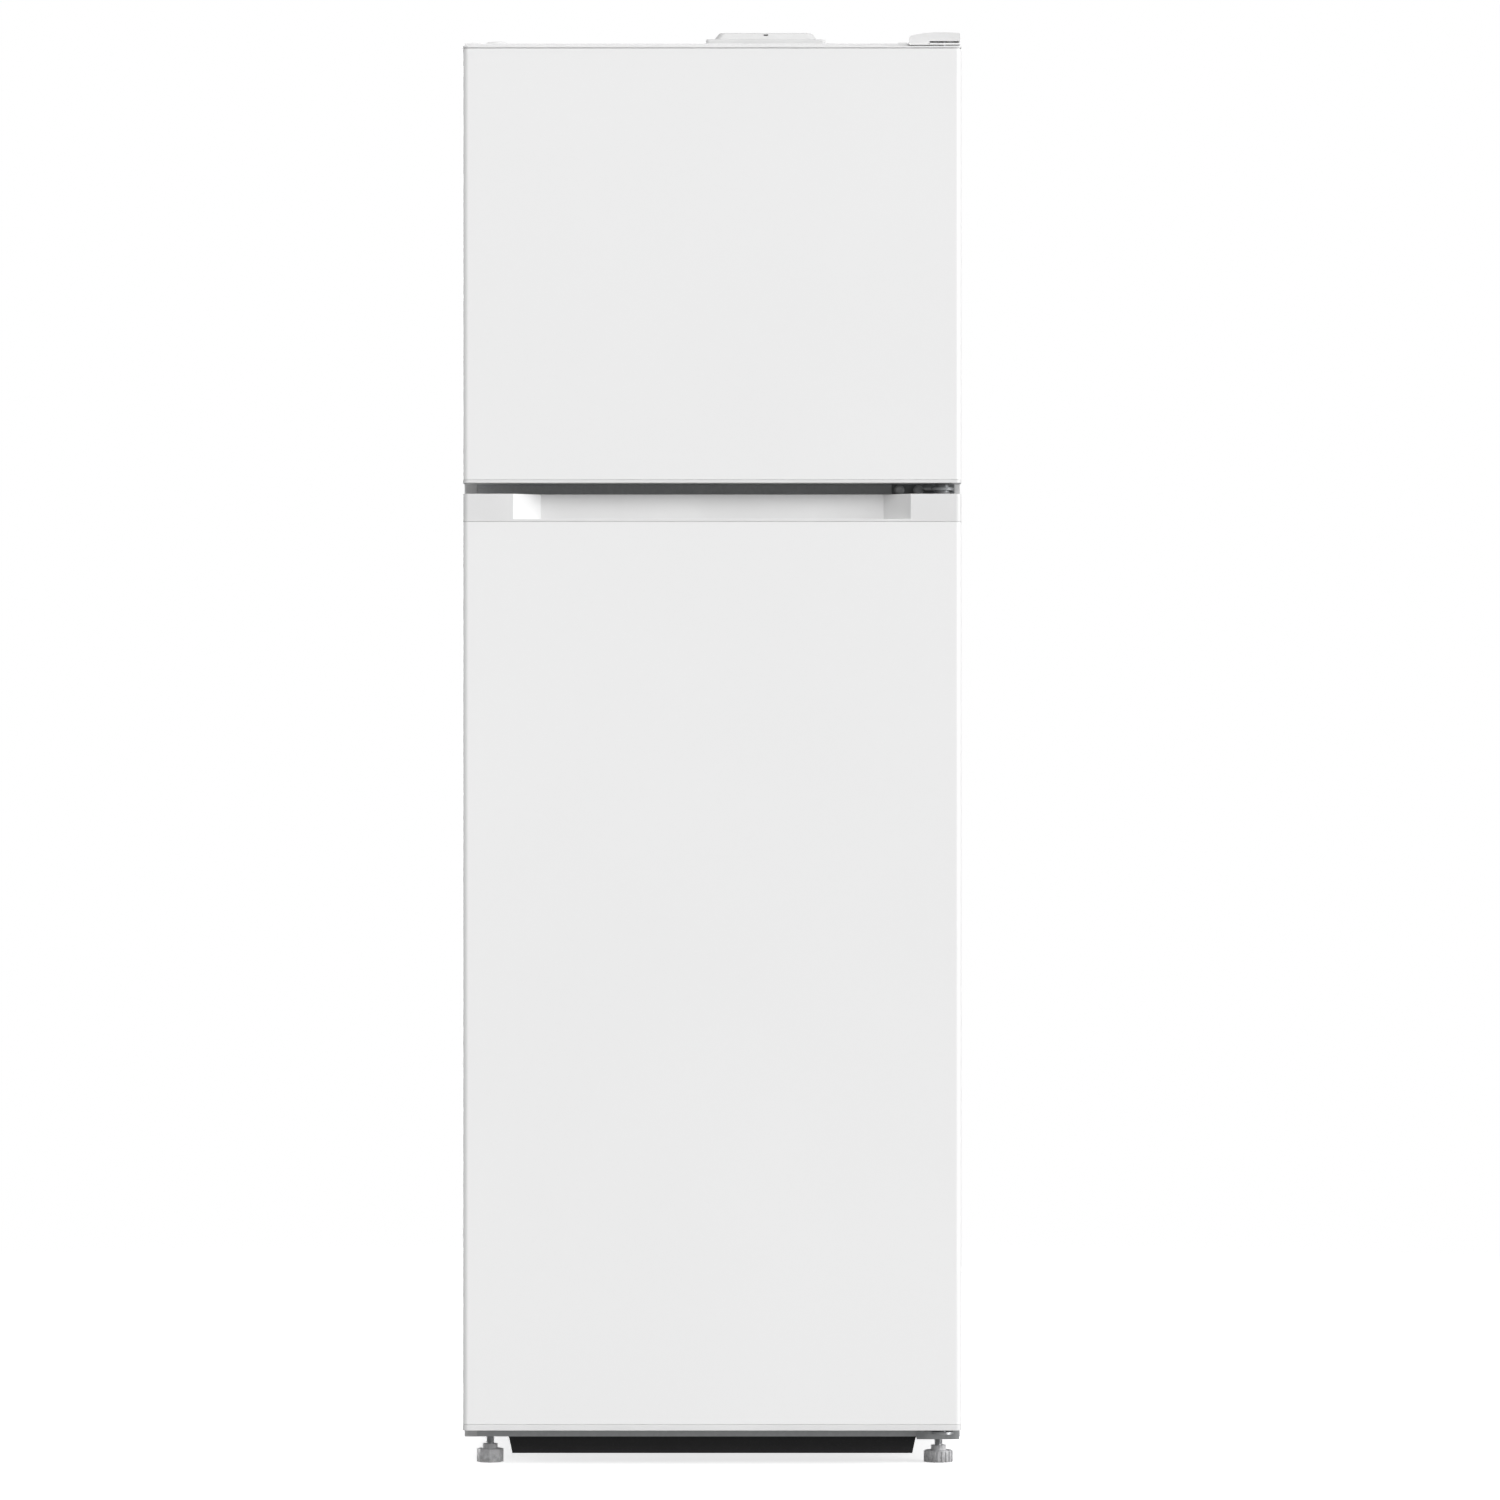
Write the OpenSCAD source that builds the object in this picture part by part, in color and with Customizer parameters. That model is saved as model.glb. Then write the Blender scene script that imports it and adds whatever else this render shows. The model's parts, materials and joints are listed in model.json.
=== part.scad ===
// Top freezer refrigerator: two-door cabinet with its doors hinged on the right.
// Millimetres, +Z up, the doors face -Y. The origin is on the floor under the middle.

/* [Cabinet] */
// Overall width
cab_w = 595; // [500:5:760]
// Overall depth, from the door fronts to the wall spacers
cab_d = 655; // [580:5:800]
// Height of the cabinet top above the floor
cab_h = 1705; // [1400:5:2100]
// Thickness of the sheet steel
sheet_t = 1; // [0.6:0.1:1.4]
// Thickness of the formed plastic liners
liner_t = 2; // [1.5:0.1:3]
// Thickness of the side walls around the fridge compartment
fridge_wall = 55; // [45:1:70]
// Thickness of the side walls and top around the freezer compartment
freezer_wall = 60; // [50:1:75]
// Thickness of the back wall
back_wall = 60; // [45:1:75]
// Width of the steel flanges that turn in around the cabinet's front
flange_w = 15; // [10:1:18]
// Height of the cabinet's underside above the floor
ground_gap = 32; // [32:1:45]
// Height of the fridge compartment's floor
fridge_floor = 100; // [90:1:130]
// Thickness of the two spacers that keep the back off a wall
spacer_t = 5; // [3:1:20]

/* [Machine compartment] */
// Depth of the machine compartment
machine_d = 212; // [200:1:240]
// Height of the machine compartment's ceiling above the floor
machine_h = 270; // [262:1:300]
// Foam between the machine compartment and the fridge compartment
step_wall = 50; // [40:1:60]
// Radius of the compressor's shell
comp_r = 72; // [60:1:76]
// Radius of the domes that close the compressor's shell
comp_dome_r = 90; // [85:1:110]
// Height of the compressor's straight wall
comp_wall_h = 66; // [50:1:70]
// Radius of the refrigerant tubes
tube_r = 2.4; // [2:0.1:3]
// Radius of the rear rollers
roller_r = 15; // [12:0.5:15]
// Width of the rear rollers
roller_w = 20; // [14:1:26]
// Radius of the rollers' axles
axle_r = 3; // [2.5:0.1:4]

/* [Doors] */
// Thickness of each door
door_t = 55; // [48:1:65]
// Height of the freezer door
freezer_door_h = 521; // [440:1:600]
// Gap between the two doors
door_gap = 13; // [12:0.5:18]
// Drop from the cabinet top to the freezer door's top
door_drop = 9; // [7:0.5:12]
// Height of the fridge door's bottom above the floor
door_ground = 45; // [45:1:58]
// Thickness of the door gaskets
seal_t = 12; // [11:0.5:14]
// Width of the door gaskets
seal_w = 18; // [12:0.5:20]
// Radius of the doors' upright front edges
edge_r = 7; // [4:0.5:10]
// Height of the fridge door's handle cap
handle_cap_h = 33; // [30:1:40]
// Half width of the handle pocket at the door's front
pocket_half_front = 237; // [150:1:240]
// Half width of the handle pocket at its back wall
pocket_half_back = 205; // [130:1:210]
// Depth of the handle pocket behind the door's front
pocket_d = 28; // [24:1:32]
// Height of the pocket's front lip above the door skin
pocket_lip_h = 3; // [2:0.5:6]
// Depth of the finger channel below the pocket's lip
finger_h = 20; // [14:1:22]
// Height of the trim strip under the freezer door
freezer_trim_h = 3.5; // [3:0.5:6]
// Height of the trim strip under the fridge door
fridge_trim_h = 7; // [5:0.5:9]
// Height of the raised frame on each door's inner face
dyke_h = 32; // [24:1:36]
// Width of the raised frame on each door's inner face
dyke_w = 28; // [20:1:34]
// Depth of the freezer door's bins
freezer_bin_d = 90; // [70:1:95]
// Depth of the fridge door's bins
fridge_bin_d = 110; // [80:1:112]

/* [Hinges] */
// Distance of the hinge pins in from the cabinet's right side
pin_in = 22; // [20:0.5:24]
// Distance of the hinge pins behind the doors' front
pin_back = 25; // [23:0.5:28]
// Radius of the hinge pins
pin_r = 4; // [3:0.1:5]
// Depth of the hinge pins in the doors
pin_deep = 12; // [9:0.5:13]
// Thickness of the hinge plates
plate_t = 3; // [2.5:0.1:4]
// Radial clearance of pins, shafts and axles in their bores
run_gap = 0.05; // [0.02:0.01:0.1]

/* [Inside] */
// Thickness of the glass shelves
glass_t = 5; // [4:0.5:6]
// Wall thickness of bins, drawers and trays
bin_t = 2.5; // [2:0.1:3]
// Height of the upper door bins
bin_h = 75; // [50:1:90]
// Height of the lowest fridge door bin
bottle_bin_h = 110; // [80:1:130]
// Number of glass shelves above the crisper
shelf_count = 3; // [2:1:4]
// Height of the freezer shelf above the freezer floor
freezer_shelf_h = 215; // [190:1:230]
// Length of the ice tray's cells
cell_l = 58; // [40:1:60]
// Width of the ice tray's cells
cell_w = 37; // [28:1:38]
// Height of the ice tray
tray_h = 26; // [20:1:28]

/* [Feet] */
// Radius of the feet's threaded studs
stud_r = 5; // [4:0.1:6]
// Radius of the left foot's eight-sided base
left_base_r = 16.2; // [14:0.1:17]
// Height of the left foot's base
left_base_h = 16; // [12:0.5:16]
// Radius of the right foot's ribbed base
right_base_r = 17.5; // [14:0.1:18]
// Height of the right foot's base
right_base_h = 14; // [12:0.5:14]

/* [Hidden] */
$fn = 48;
over = 1; // how far a cut runs past what it cuts

// Cabinet planes
half_w = cab_w / 2;
door_front = -cab_d / 2;
door_back = door_front + door_t;
face_y = door_back + seal_t;
shell_back = cab_d / 2 - spacer_t;
inner_back = shell_back - back_wall;
fridge_in = half_w - fridge_wall;
freezer_in = half_w - freezer_wall;
machine_y = shell_back - machine_d;
step_y = machine_y - step_wall;
ledge_z = machine_h + step_wall;
foam_gap = 0.2; // parting between neighbouring blocks of foam
foam_front = face_y + liner_t;

// Door levels
freezer_z1 = cab_h - door_drop;
freezer_z0 = freezer_z1 - freezer_door_h;
fridge_z1 = freezer_z0 - door_gap;
fridge_z0 = door_ground;
beam_lap = 24.5; // how far the centre beam reaches behind each door
beam_z0 = fridge_z1 - beam_lap;
beam_z1 = freezer_z0 + beam_lap;
beam_mid = (beam_z0 + beam_z1) / 2;
beam_flange = 10; // height of the liners' flanges over the centre beam
beam_deep = 20; // depth of the centre beam's channel
ceiling_z = cab_h - freezer_wall;
foam_z0 = ground_gap + 30;
floor_sheet_z = foam_z0 - sheet_t;
seal_margin = 2; // from an opening's edge to the gasket, above and below
seal_side = 5; // from an opening's edge to the gasket, at the sides
seal_gap = 0.3; // a closed gasket's gap to the cabinet's face
dyke_gap = 8; // from an opening's edge to the door's raised frame
plug_h = 15; // how far the door caps reach into the skins
handle_plug_h = 29;
skin_set = 1; // the freezer door's top cap sits this far below the skin's edge

// Hinges
pin_x = half_w - pin_in;
pin_y = door_front + pin_back;
bore_r = pin_r + run_gap;
pin_tip_gap = 1; // bores are this much deeper than the pins
hinge_w = 51; // width of the hinge plates
hinge_x0 = half_w - sheet_t - hinge_w;
screw_r = 3;
screw_head_r = 5;
screw_head_h = 3.5;
mid_plate_z = (freezer_z0 + fridge_z1) / 2 - plate_t / 2;
low_plate_z = door_ground - 3 - plate_t;

// Machine compartment
plate_z = ground_gap + 2;
comp_x = 150;
comp_y = machine_y + machine_d / 2;
comp_lift = 14; // gap between the compressor and the base plate
dome_rise = comp_dome_r - sqrt(comp_dome_r * comp_dome_r - comp_r * comp_r);
comp_z0 = plate_z + comp_lift + dome_rise;
comp_z1 = comp_z0 + comp_wall_h;
comp_top = comp_z1 + dome_rise;
mount_dx = 72;
mount_dy = 62;
mount_r = 10;
comp_foot_z = plate_z + comp_lift + 12;
roller_x = half_w - 47;
roller_y = shell_back - 34;

// Shelves and drawer
crisper_front = -150;
crisper_wall_gap = 14;
crisper_top = ledge_z - 12;
shelf_front = -130;
duct_d = 30; // depth of the fridge's air duct
duct_half = 70;
shelf_back = inner_back - duct_d - 4;
rib_w = 8; // how far the shelf ribs stand out of the liners
rib_h = 6;
shelf_pitch = (beam_z0 - ledge_z) / (shelf_count + 1);
function shelf_z(i) = ledge_z + i * shelf_pitch;
freezer_floor = beam_z1;
fz_shelf_z = freezer_floor + freezer_shelf_h;
cover_y = inner_back - 62; // front of the freezer's duct cover
cover_t = 4;
fan_z = freezer_floor + 280;
fan_shaft_r = 2;

// Door bins
fridge_bin_z0 = fridge_floor + 40;
fridge_bin_count = 4;
fridge_bin_pitch = (beam_z0 - 120 - fridge_bin_z0 - bottle_bin_h - 60) / (fridge_bin_count - 1);
function fridge_bin_z(i) = fridge_bin_z0 + (i > 0 ? 60 : 0) + i * fridge_bin_pitch;
freezer_bin_z0 = freezer_floor + 40;
freezer_bin_count = 2;
freezer_bin_pitch = 185;
bin_side_gap = 2;

// Ice maker
holder_w = 120;
holder_t = 3;
holder_h = 112;
holder_x = -(freezer_in - 10 - holder_w / 2);
holder_d = 250;
tray_axis_z = fz_shelf_z + glass_t + 100;
tray_pivot_r = 4;
tray_wall = 2;
tray_half_w = cell_w + 1.5 * tray_wall;
tray_half_l = 1.5 * cell_l + 2 * tray_wall;

// Feet
foot_y = face_y + 23;
left_foot_x = -(half_w - 30);
right_foot_x = half_w - 25.5;
stud_top = ground_gap + 18;
stud_seat = 4; // height of the stud's lower end
collar_r = 9;
collar_h = 6;

module box(x0, x1, y0, y1, z0, z1) {
    translate([x0, y0, z0])
        cube([x1 - x0, y1 - y0, z1 - z0]);
}

module both_sides() {
    children();
    mirror([1, 0, 0])
        children();
}

// A cylinder along X, from x0 to x1
module rod_x(r, x0, x1, y, z) {
    translate([x0, y, z])
        rotate([0, 90, 0])
            cylinder(r = r, h = x1 - x0);
}

// A cylinder along Y, from y0 to y1
module rod_y(r, x, y0, y1, z) {
    translate([x, y0, z])
        rotate([-90, 0, 0])
            cylinder(r = r, h = y1 - y0);
}

// A round bar from one point to another, with a ball at its far end
module bar(a, b, r) {
    d = b - a;
    run = sqrt(d.x * d.x + d.y * d.y);
    translate(a)
        rotate([0, atan2(run, d.z), atan2(d.y, d.x)])
            cylinder(r = r, h = norm(d));
    translate(b)
        sphere(r = r);
}

// A tube through a list of points
module tube(points, r) {
    translate(points[0])
        sphere(r = r);
    for (i = [1 : len(points) - 1])
        bar(points[i - 1], points[i], r);
}

// An open-topped box with its own wall thickness
module open_bin(x0, x1, y0, y1, z0, z1, wall) {
    difference() {
        box(x0, x1, y0, y1, z0, z1);
        box(x0 + wall, x1 - wall, y0 + wall, y1 - wall, z0 + wall, z1 + over);
    }
}

/* ---- cabinet shell ---- */

module side_panels() {
    color("gainsboro")
        both_sides() {
            box(half_w - sheet_t, half_w, face_y, shell_back, ground_gap, cab_h);
            box(half_w - flange_w, half_w, face_y, face_y + sheet_t, ground_gap, cab_h);
        }
}

module top_panel() {
    panel_in = half_w - sheet_t;
    color("gainsboro") {
        box(-panel_in, panel_in, face_y + sheet_t, shell_back, cab_h - sheet_t, cab_h);
        box(-(half_w - flange_w), half_w - flange_w, face_y, face_y + sheet_t, cab_h - flange_w, cab_h);
    }
}

module back_panel() {
    panel_in = half_w - sheet_t;
    color("silver")
        box(-panel_in, panel_in, shell_back - sheet_t, shell_back, machine_h, cab_h - sheet_t);
}

module cabinet_floor() {
    panel_in = half_w - sheet_t;
    panel_back = shell_back - sheet_t;
    color("silver") {
        box(-panel_in, panel_in, foam_front, machine_y, floor_sheet_z, foam_z0);
        box(-panel_in, panel_in, machine_y - sheet_t, machine_y, floor_sheet_z, machine_h + sheet_t);
        box(-panel_in, panel_in, machine_y - sheet_t, panel_back, machine_h, machine_h + sheet_t);
    }
}

// The hollow of the fridge compartment, grown outwards by the liner's thickness
module fridge_cavity(grow) {
    box(-fridge_in - grow, fridge_in + grow, face_y - over, inner_back + grow,
        ledge_z - grow, beam_z0 + grow);
    box(-fridge_in - grow, fridge_in + grow, face_y - over, step_y + grow,
        fridge_floor - grow, ledge_z + grow);
}

module freezer_cavity(grow) {
    box(-freezer_in - grow, freezer_in + grow, face_y - over, inner_back + grow,
        freezer_floor - grow, ceiling_z + grow);
}

// Foam fills the walls in blocks that meet at fine parting lines
module cabinet_foam() {
    wall_x = half_w - sheet_t;
    fridge_x = fridge_in + liner_t;
    freezer_x = freezer_in + liner_t;
    back = shell_back - sheet_t - foam_gap;
    wall_back_y = inner_back + liner_t;
    step_top = machine_h + sheet_t;
    partition_z0 = beam_z0 + liner_t;
    partition_z1 = beam_z1 - liner_t;
    color("khaki") {
        both_sides() {
            box(fridge_x, wall_x, foam_front, machine_y - sheet_t, foam_z0, step_top - foam_gap);
            box(fridge_x, wall_x, foam_front, back, step_top, partition_z0 - foam_gap);
            box(freezer_x, wall_x, foam_front, back, partition_z1 + foam_gap, cab_h - sheet_t);
        }
        box(-fridge_x + foam_gap, fridge_x - foam_gap, foam_front, machine_y - sheet_t,
            foam_z0, fridge_floor - liner_t);
        box(-fridge_x + foam_gap, fridge_x - foam_gap, step_y + liner_t, machine_y - sheet_t,
            fridge_floor - liner_t + foam_gap, step_top - foam_gap);
        box(-fridge_x + foam_gap, fridge_x - foam_gap, step_y + liner_t, back,
            step_top, ledge_z - liner_t);
        box(-fridge_x + foam_gap, fridge_x - foam_gap, wall_back_y, back,
            ledge_z - liner_t + foam_gap, partition_z0 - foam_gap);
        box(-wall_x, wall_x, face_y + beam_deep, back, partition_z0, partition_z1);
        box(-freezer_x + foam_gap, freezer_x - foam_gap, wall_back_y, back,
            partition_z1 + foam_gap, ceiling_z + liner_t - foam_gap);
        box(-freezer_x + foam_gap, freezer_x - foam_gap, foam_front, back,
            ceiling_z + liner_t, cab_h - sheet_t);
    }
}

// A flat frame at the cabinet's front, from z0 to z1
module front_flange(z0, z1) {
    edge_x = half_w - flange_w;
    box(-edge_x, edge_x, face_y, foam_front, z0, z1);
}

module fridge_liner() {
    color("white") {
        difference() {
            union() {
                front_flange(foam_z0, beam_z0 + beam_flange);
                intersection() {
                    fridge_cavity(liner_t);
                    box(-half_w, half_w, face_y, inner_back + liner_t, 0, cab_h);
                }
            }
            fridge_cavity(0);
        }
        both_sides()
            for (i = [0 : shelf_count]) {
                back = i == 0 ? step_y : shelf_back;
                box(fridge_in - rib_w, fridge_in + liner_t, shelf_front + 12, back,
                    shelf_z(i) - rib_h, shelf_z(i));
            }
    }
}

module freezer_liner() {
    color("white") {
        difference() {
            union() {
                front_flange(beam_z1 - beam_flange, cab_h - flange_w);
                intersection() {
                    freezer_cavity(liner_t);
                    box(-half_w, half_w, face_y, inner_back + liner_t, 0, cab_h);
                }
            }
            freezer_cavity(0);
        }
        both_sides()
            box(freezer_in - rib_w, freezer_in + liner_t, shelf_front + 2, cover_y - 5,
                fz_shelf_z - rib_h, fz_shelf_z);
    }
}

module centre_beam() {
    edge_x = half_w - flange_w;
    z0 = beam_z0 + beam_flange;
    z1 = beam_z1 - beam_flange;
    color("lightgray") {
        box(-edge_x, edge_x, face_y, face_y + sheet_t, z0, z1);
        for (z = [z0, z1 - sheet_t])
            box(-edge_x, edge_x, face_y, face_y + beam_deep - foam_gap, z, z + sheet_t);
    }
}

module lower_front_beam() {
    in_x = half_w - sheet_t;
    web_y = face_y + sheet_t;
    beam_t = 2;
    nut_h = 12;
    color("darkgray")
        difference() {
            union() {
                box(-in_x, in_x, web_y, web_y + beam_t, ground_gap, floor_sheet_z);
                box(-in_x, in_x, web_y, web_y + 58, ground_gap, ground_gap + beam_t);
                box(-in_x, in_x, web_y, web_y + 58, floor_sheet_z - beam_t, floor_sheet_z);
                for (x = [left_foot_x, right_foot_x])
                    translate([x, foot_y, ground_gap])
                        cylinder(r = stud_r + 4, h = beam_t + nut_h);
            }
            for (x = [left_foot_x, right_foot_x])
                translate([x, foot_y, ground_gap - over])
                    cylinder(r = stud_r + run_gap, h = beam_t + nut_h + 2 * over);
        }
}

module toe_kick() {
    kick_h = 21;
    half_top = hinge_x0 - 0.5;
    half_bottom = half_top - 4.5;
    kick_t = 2.5;
    kick_y = face_y + 13;
    color("dimgray") {
        translate([0, kick_y + kick_t, 0])
            rotate([90, 0, 0])
                linear_extrude(kick_t)
                    polygon([[-half_top, ground_gap], [half_top, ground_gap],
                             [half_bottom, ground_gap - kick_h], [-half_bottom, ground_gap - kick_h]]);
        box(-half_top, half_top, kick_y, kick_y + 30, ground_gap - kick_t, ground_gap);
    }
}

/* ---- machine compartment ---- */

module base_plate() {
    in_x = half_w - sheet_t;
    cheek_t = 2;
    cheek_gap = 1;
    color("silver") {
        box(-in_x, in_x, machine_y, shell_back - 2, ground_gap, plate_z);
        box(-in_x, in_x, machine_y, machine_y + 2, plate_z, plate_z + 24);
        for (s = [-1, 1]) {
            for (side = [-1, 1])
                translate([s * roller_x + side * (roller_w / 2 + cheek_gap + cheek_t / 2), roller_y, 0])
                    box(-cheek_t / 2, cheek_t / 2, -9, 9, roller_r - 8, ground_gap);
            half = roller_w / 2 + cheek_gap + cheek_t + 1;
            rod_x(axle_r, s * roller_x - half, s * roller_x + half, roller_y, roller_r);
        }
    }
}

module roller(x) {
    chamfer = 1.5;
    translate([x, roller_y, roller_r])
        rotate([0, 90, 0])
            difference() {
                rotate_extrude()
                    polygon([[0, -roller_w / 2], [roller_r - chamfer, -roller_w / 2],
                             [roller_r, -roller_w / 2 + chamfer], [roller_r, roller_w / 2 - chamfer],
                             [roller_r - chamfer, roller_w / 2], [0, roller_w / 2]]);
                translate([0, 0, -roller_w])
                    cylinder(r = axle_r + run_gap, h = 2 * roller_w);
            }
}

module rear_roller_left() {
    color("dimgray")
        roller(-roller_x);
}

module rear_roller_right() {
    color("dimgray")
        roller(roller_x);
}

module compressor() {
    sink = sqrt(comp_dome_r * comp_dome_r - comp_r * comp_r);
    flange_over = 4;
    color("dimgray") {
        translate([comp_x, comp_y, 0]) {
            intersection() {
                translate([0, 0, comp_z0])
                    mirror([0, 0, 1])
                        cylinder(r = comp_r, h = dome_rise);
                translate([0, 0, comp_z0 + sink])
                    sphere(r = comp_dome_r);
            }
            translate([0, 0, comp_z0])
                cylinder(r = comp_r, h = comp_wall_h);
            translate([0, 0, comp_z0 + comp_wall_h * 0.6])
                cylinder(r = comp_r + flange_over / 2, h = 3);
            intersection() {
                translate([0, 0, comp_z1])
                    cylinder(r = comp_r, h = dome_rise);
                translate([0, 0, comp_z1 - sink])
                    sphere(r = comp_dome_r);
            }
            difference() {
                box(-mount_dx - mount_r, mount_dx + mount_r, -mount_dy - mount_r, mount_dy + mount_r,
                    comp_foot_z, comp_foot_z + 3);
                for (x = [-mount_dx, mount_dx], y = [-mount_dy, mount_dy])
                    translate([x, y, comp_foot_z - over])
                        cylinder(r = mount_r - 4 + run_gap, h = 3 + 2 * over);
            }
        }
        box(comp_x - comp_r - 32, comp_x - comp_r - foam_gap, comp_y - 26, comp_y + 26,
            comp_z0 + 4, comp_z1 - 2);
    }
}

module compressor_mounts() {
    seat_h = comp_foot_z - plate_z;
    color("black")
        for (x = [-mount_dx, mount_dx], y = [-mount_dy, mount_dy])
            translate([comp_x + x, comp_y + y, plate_z]) {
                cylinder(r = mount_r, h = seat_h);
                cylinder(r = mount_r - 4, h = seat_h + 3);
                translate([0, 0, seat_h + 3])
                    cylinder(r = mount_r - 2, h = 4);
            }
}

coil_x0 = -(half_w - 40);
coil_x1 = -20;
coil_rows = 4;
coil_passes = 6;
coil_pitch = 24;
coil_z0 = plate_z + 12;

// One upright serpentine of the condenser, run back and forth from the bottom up
module coil_row(y) {
    ends = [coil_x0, coil_x1];
    tube([for (i = [0 : coil_passes - 1], k = [0, 1]) [ends[(i + k) % 2], y, coil_z0 + i * coil_pitch]],
         tube_r);
}

module condenser_coil() {
    row_pitch = 42;
    first_y = machine_y + 40;
    leg_t = 1.5;
    color("dimgray") {
        for (i = [0 : coil_rows - 1])
            coil_row(first_y + i * row_pitch);
        for (x = [coil_x0 + 30, coil_x1 - 30])
            box(x - leg_t / 2, x + leg_t / 2, first_y - 6, first_y + (coil_rows - 1) * row_pitch + 6,
                plate_z, coil_z0 + (coil_passes - 1) * coil_pitch + 6);
    }
}

module drip_tray() {
    color("whitesmoke")
        open_bin(comp_x - 75, comp_x + 75, machine_y, machine_y + 150, comp_top + 8, comp_top + 34, bin_t);
}

module refrigerant_pipes() {
    drier_r = 8;
    drier_x = comp_x - comp_r - 60;
    drier_y = shell_back - 34;
    side_x = comp_x + comp_r + 1.5;
    pipe_z = comp_z0 + 20;
    suction_r = tube_r + 1;
    color("peru") {
        tube([[side_x, comp_y + 20, pipe_z], [side_x + 22, comp_y + 20, pipe_z],
              [side_x + 22, comp_y + 20, machine_h - suction_r]], suction_r);
        tube([[side_x, comp_y - 20, pipe_z + 14], [side_x + 34, comp_y - 20, pipe_z + 14],
              [side_x + 34, comp_y - 20, machine_h - 14],
              [side_x + 34, machine_y + tube_r, machine_h - 14]], tube_r);
        translate([drier_x, drier_y, plate_z]) {
            cylinder(r = 3, h = 40);
            translate([0, 0, 40])
                cylinder(r = drier_r, h = 90);
            translate([0, 0, 130])
                cylinder(r = 2, h = machine_h - plate_z - 130);
        }
    }
}

module machine_cover() {
    cover_x = half_w - 14;
    slot_w = 6;
    slot_pitch = 16;
    z0 = plate_z + 2;
    z1 = machine_h - 4;
    color("gray")
        difference() {
            union() {
                box(-cover_x, cover_x, shell_back - 1.5, shell_back, z0, z1);
                for (x = [-cover_x + 70, cover_x - 70])
                    rod_y(13, x, shell_back - 1, cab_d / 2, z1 - 24);
            }
            for (x = [-cover_x + 130 : slot_pitch : cover_x - 130])
                box(x - slot_w / 2, x + slot_w / 2, shell_back - 3, shell_back + 1, z0 + 60, z1 - 30);
            rod_y(inlet_r + run_gap, inlet_x, shell_back - 3, shell_back + 1, inlet_z);
        }
}

inlet_x = half_w - 55;
inlet_z = plate_z + 30;
inlet_r = 6.5;
cord_r = 4;

module cord_inlet() {
    color("black")
        difference() {
            union() {
                rod_y(inlet_r, inlet_x, shell_back - 12, shell_back + 3, inlet_z);
                rod_y(inlet_r + 3, inlet_x, shell_back, shell_back + 3, inlet_z);
                rod_y(inlet_r + 2, inlet_x, shell_back - 12, shell_back - 4, inlet_z);
            }
            rod_y(cord_r, inlet_x, shell_back - 20, shell_back + 10, inlet_z);
        }
}

/* ---- cooling and air ---- */

module evaporator() {
    half_l = freezer_in - 65;
    y0 = cover_y + cover_t + 6;
    y1 = inner_back - 6;
    z0 = freezer_floor + 30;
    z1 = z0 + 150;
    fin_t = 0.8;
    fin_pitch = 14;
    rows = 4;
    row_pitch = 34;
    col_y = [y0 + 12, y1 - 12];
    color("silver") {
        for (x = [-half_l : fin_pitch : half_l])
            box(x - fin_t / 2, x + fin_t / 2, y0, y1, z0, z1);
        for (s = [-1, 1])
            box(s * (half_l + 5) - 0.75, s * (half_l + 5) + 0.75, y0 - 3, y1 + 6,
                z0 - 24, z1 + 4);
        for (y = col_y, i = [0 : rows - 1])
            rod_x(tube_r + 1, -half_l - 8, half_l + 8, y, z0 + 20 + i * row_pitch);
        rod_x(4.5, -half_l - 8, half_l + 8, (y0 + y1) / 2, z0 - 12);
    }
}

module fan_motor() {
    motor_r = 28;
    motor_y = inner_back - 26;
    color("dimgray") {
        rod_y(motor_r, 0, motor_y, inner_back, fan_z);
        rod_y(fan_shaft_r, 0, cover_y + cover_t + 6, motor_y, fan_z);
        for (a = [90, 210, 330])
            translate([0, inner_back - 8, fan_z])
                rotate([0, a, 0])
                    box(motor_r - 4, 66, 0, 8, -5, 5);
    }
}

module fan_blade() {
    hub_y0 = cover_y + cover_t + 8;
    hub_y1 = inner_back - 29;
    hub_r = 14;
    blade_tip = 52;
    blade_chord = 22;
    blade_tilt = 32;
    color("lightsteelblue")
        difference() {
            union() {
                rod_y(hub_r, 0, hub_y0, hub_y1, fan_z);
                for (i = [0 : 4])
                    translate([0, (hub_y0 + hub_y1) / 2, fan_z])
                        rotate([0, i * 72, 0])
                            rotate([blade_tilt, 0, 0])
                                box(hub_r - 5, blade_tip, -1, 1, -blade_chord / 2, blade_chord / 2);
            }
            rod_y(fan_shaft_r + run_gap, 0, hub_y0 - over, hub_y1 + over, fan_z);
        }
}

module freezer_duct_cover() {
    half = freezer_in - 2;
    z0 = freezer_floor + 1;
    z1 = ceiling_z - 2;
    grille_r = 56;
    back_y = cover_y + cover_t;
    color("whitesmoke") {
        difference() {
            box(-half, half, cover_y, back_y, z0, z1);
            rod_y(grille_r, 0, cover_y - over, back_y + over, fan_z);
            for (x = [-150 : 20 : 150]) {
                box(x - 6, x + 6, cover_y - over, back_y + over, z1 - 34, z1 - 22);
                box(x - 6, x + 6, cover_y - over, back_y + over, z0 + 10, z0 + 22);
            }
        }
        for (z = [-42 : 12 : 42]) {
            reach = sqrt(grille_r * grille_r - z * z) + 1;
            box(-reach, reach, cover_y, cover_y + 3, fan_z + z - 1.5, fan_z + z + 1.5);
        }
        for (x = [-half + 18, half - 18], z = [z0 + 40, z1 - 40])
            rod_y(6, x, back_y - 1, inner_back, z);
    }
}

duct_front = inner_back - duct_d;
duct_z0 = ledge_z + 90;
duct_z1 = beam_z0;
dial_z = duct_z1 - shelf_pitch * 0.55;
dial_shaft_r = 4;

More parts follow.
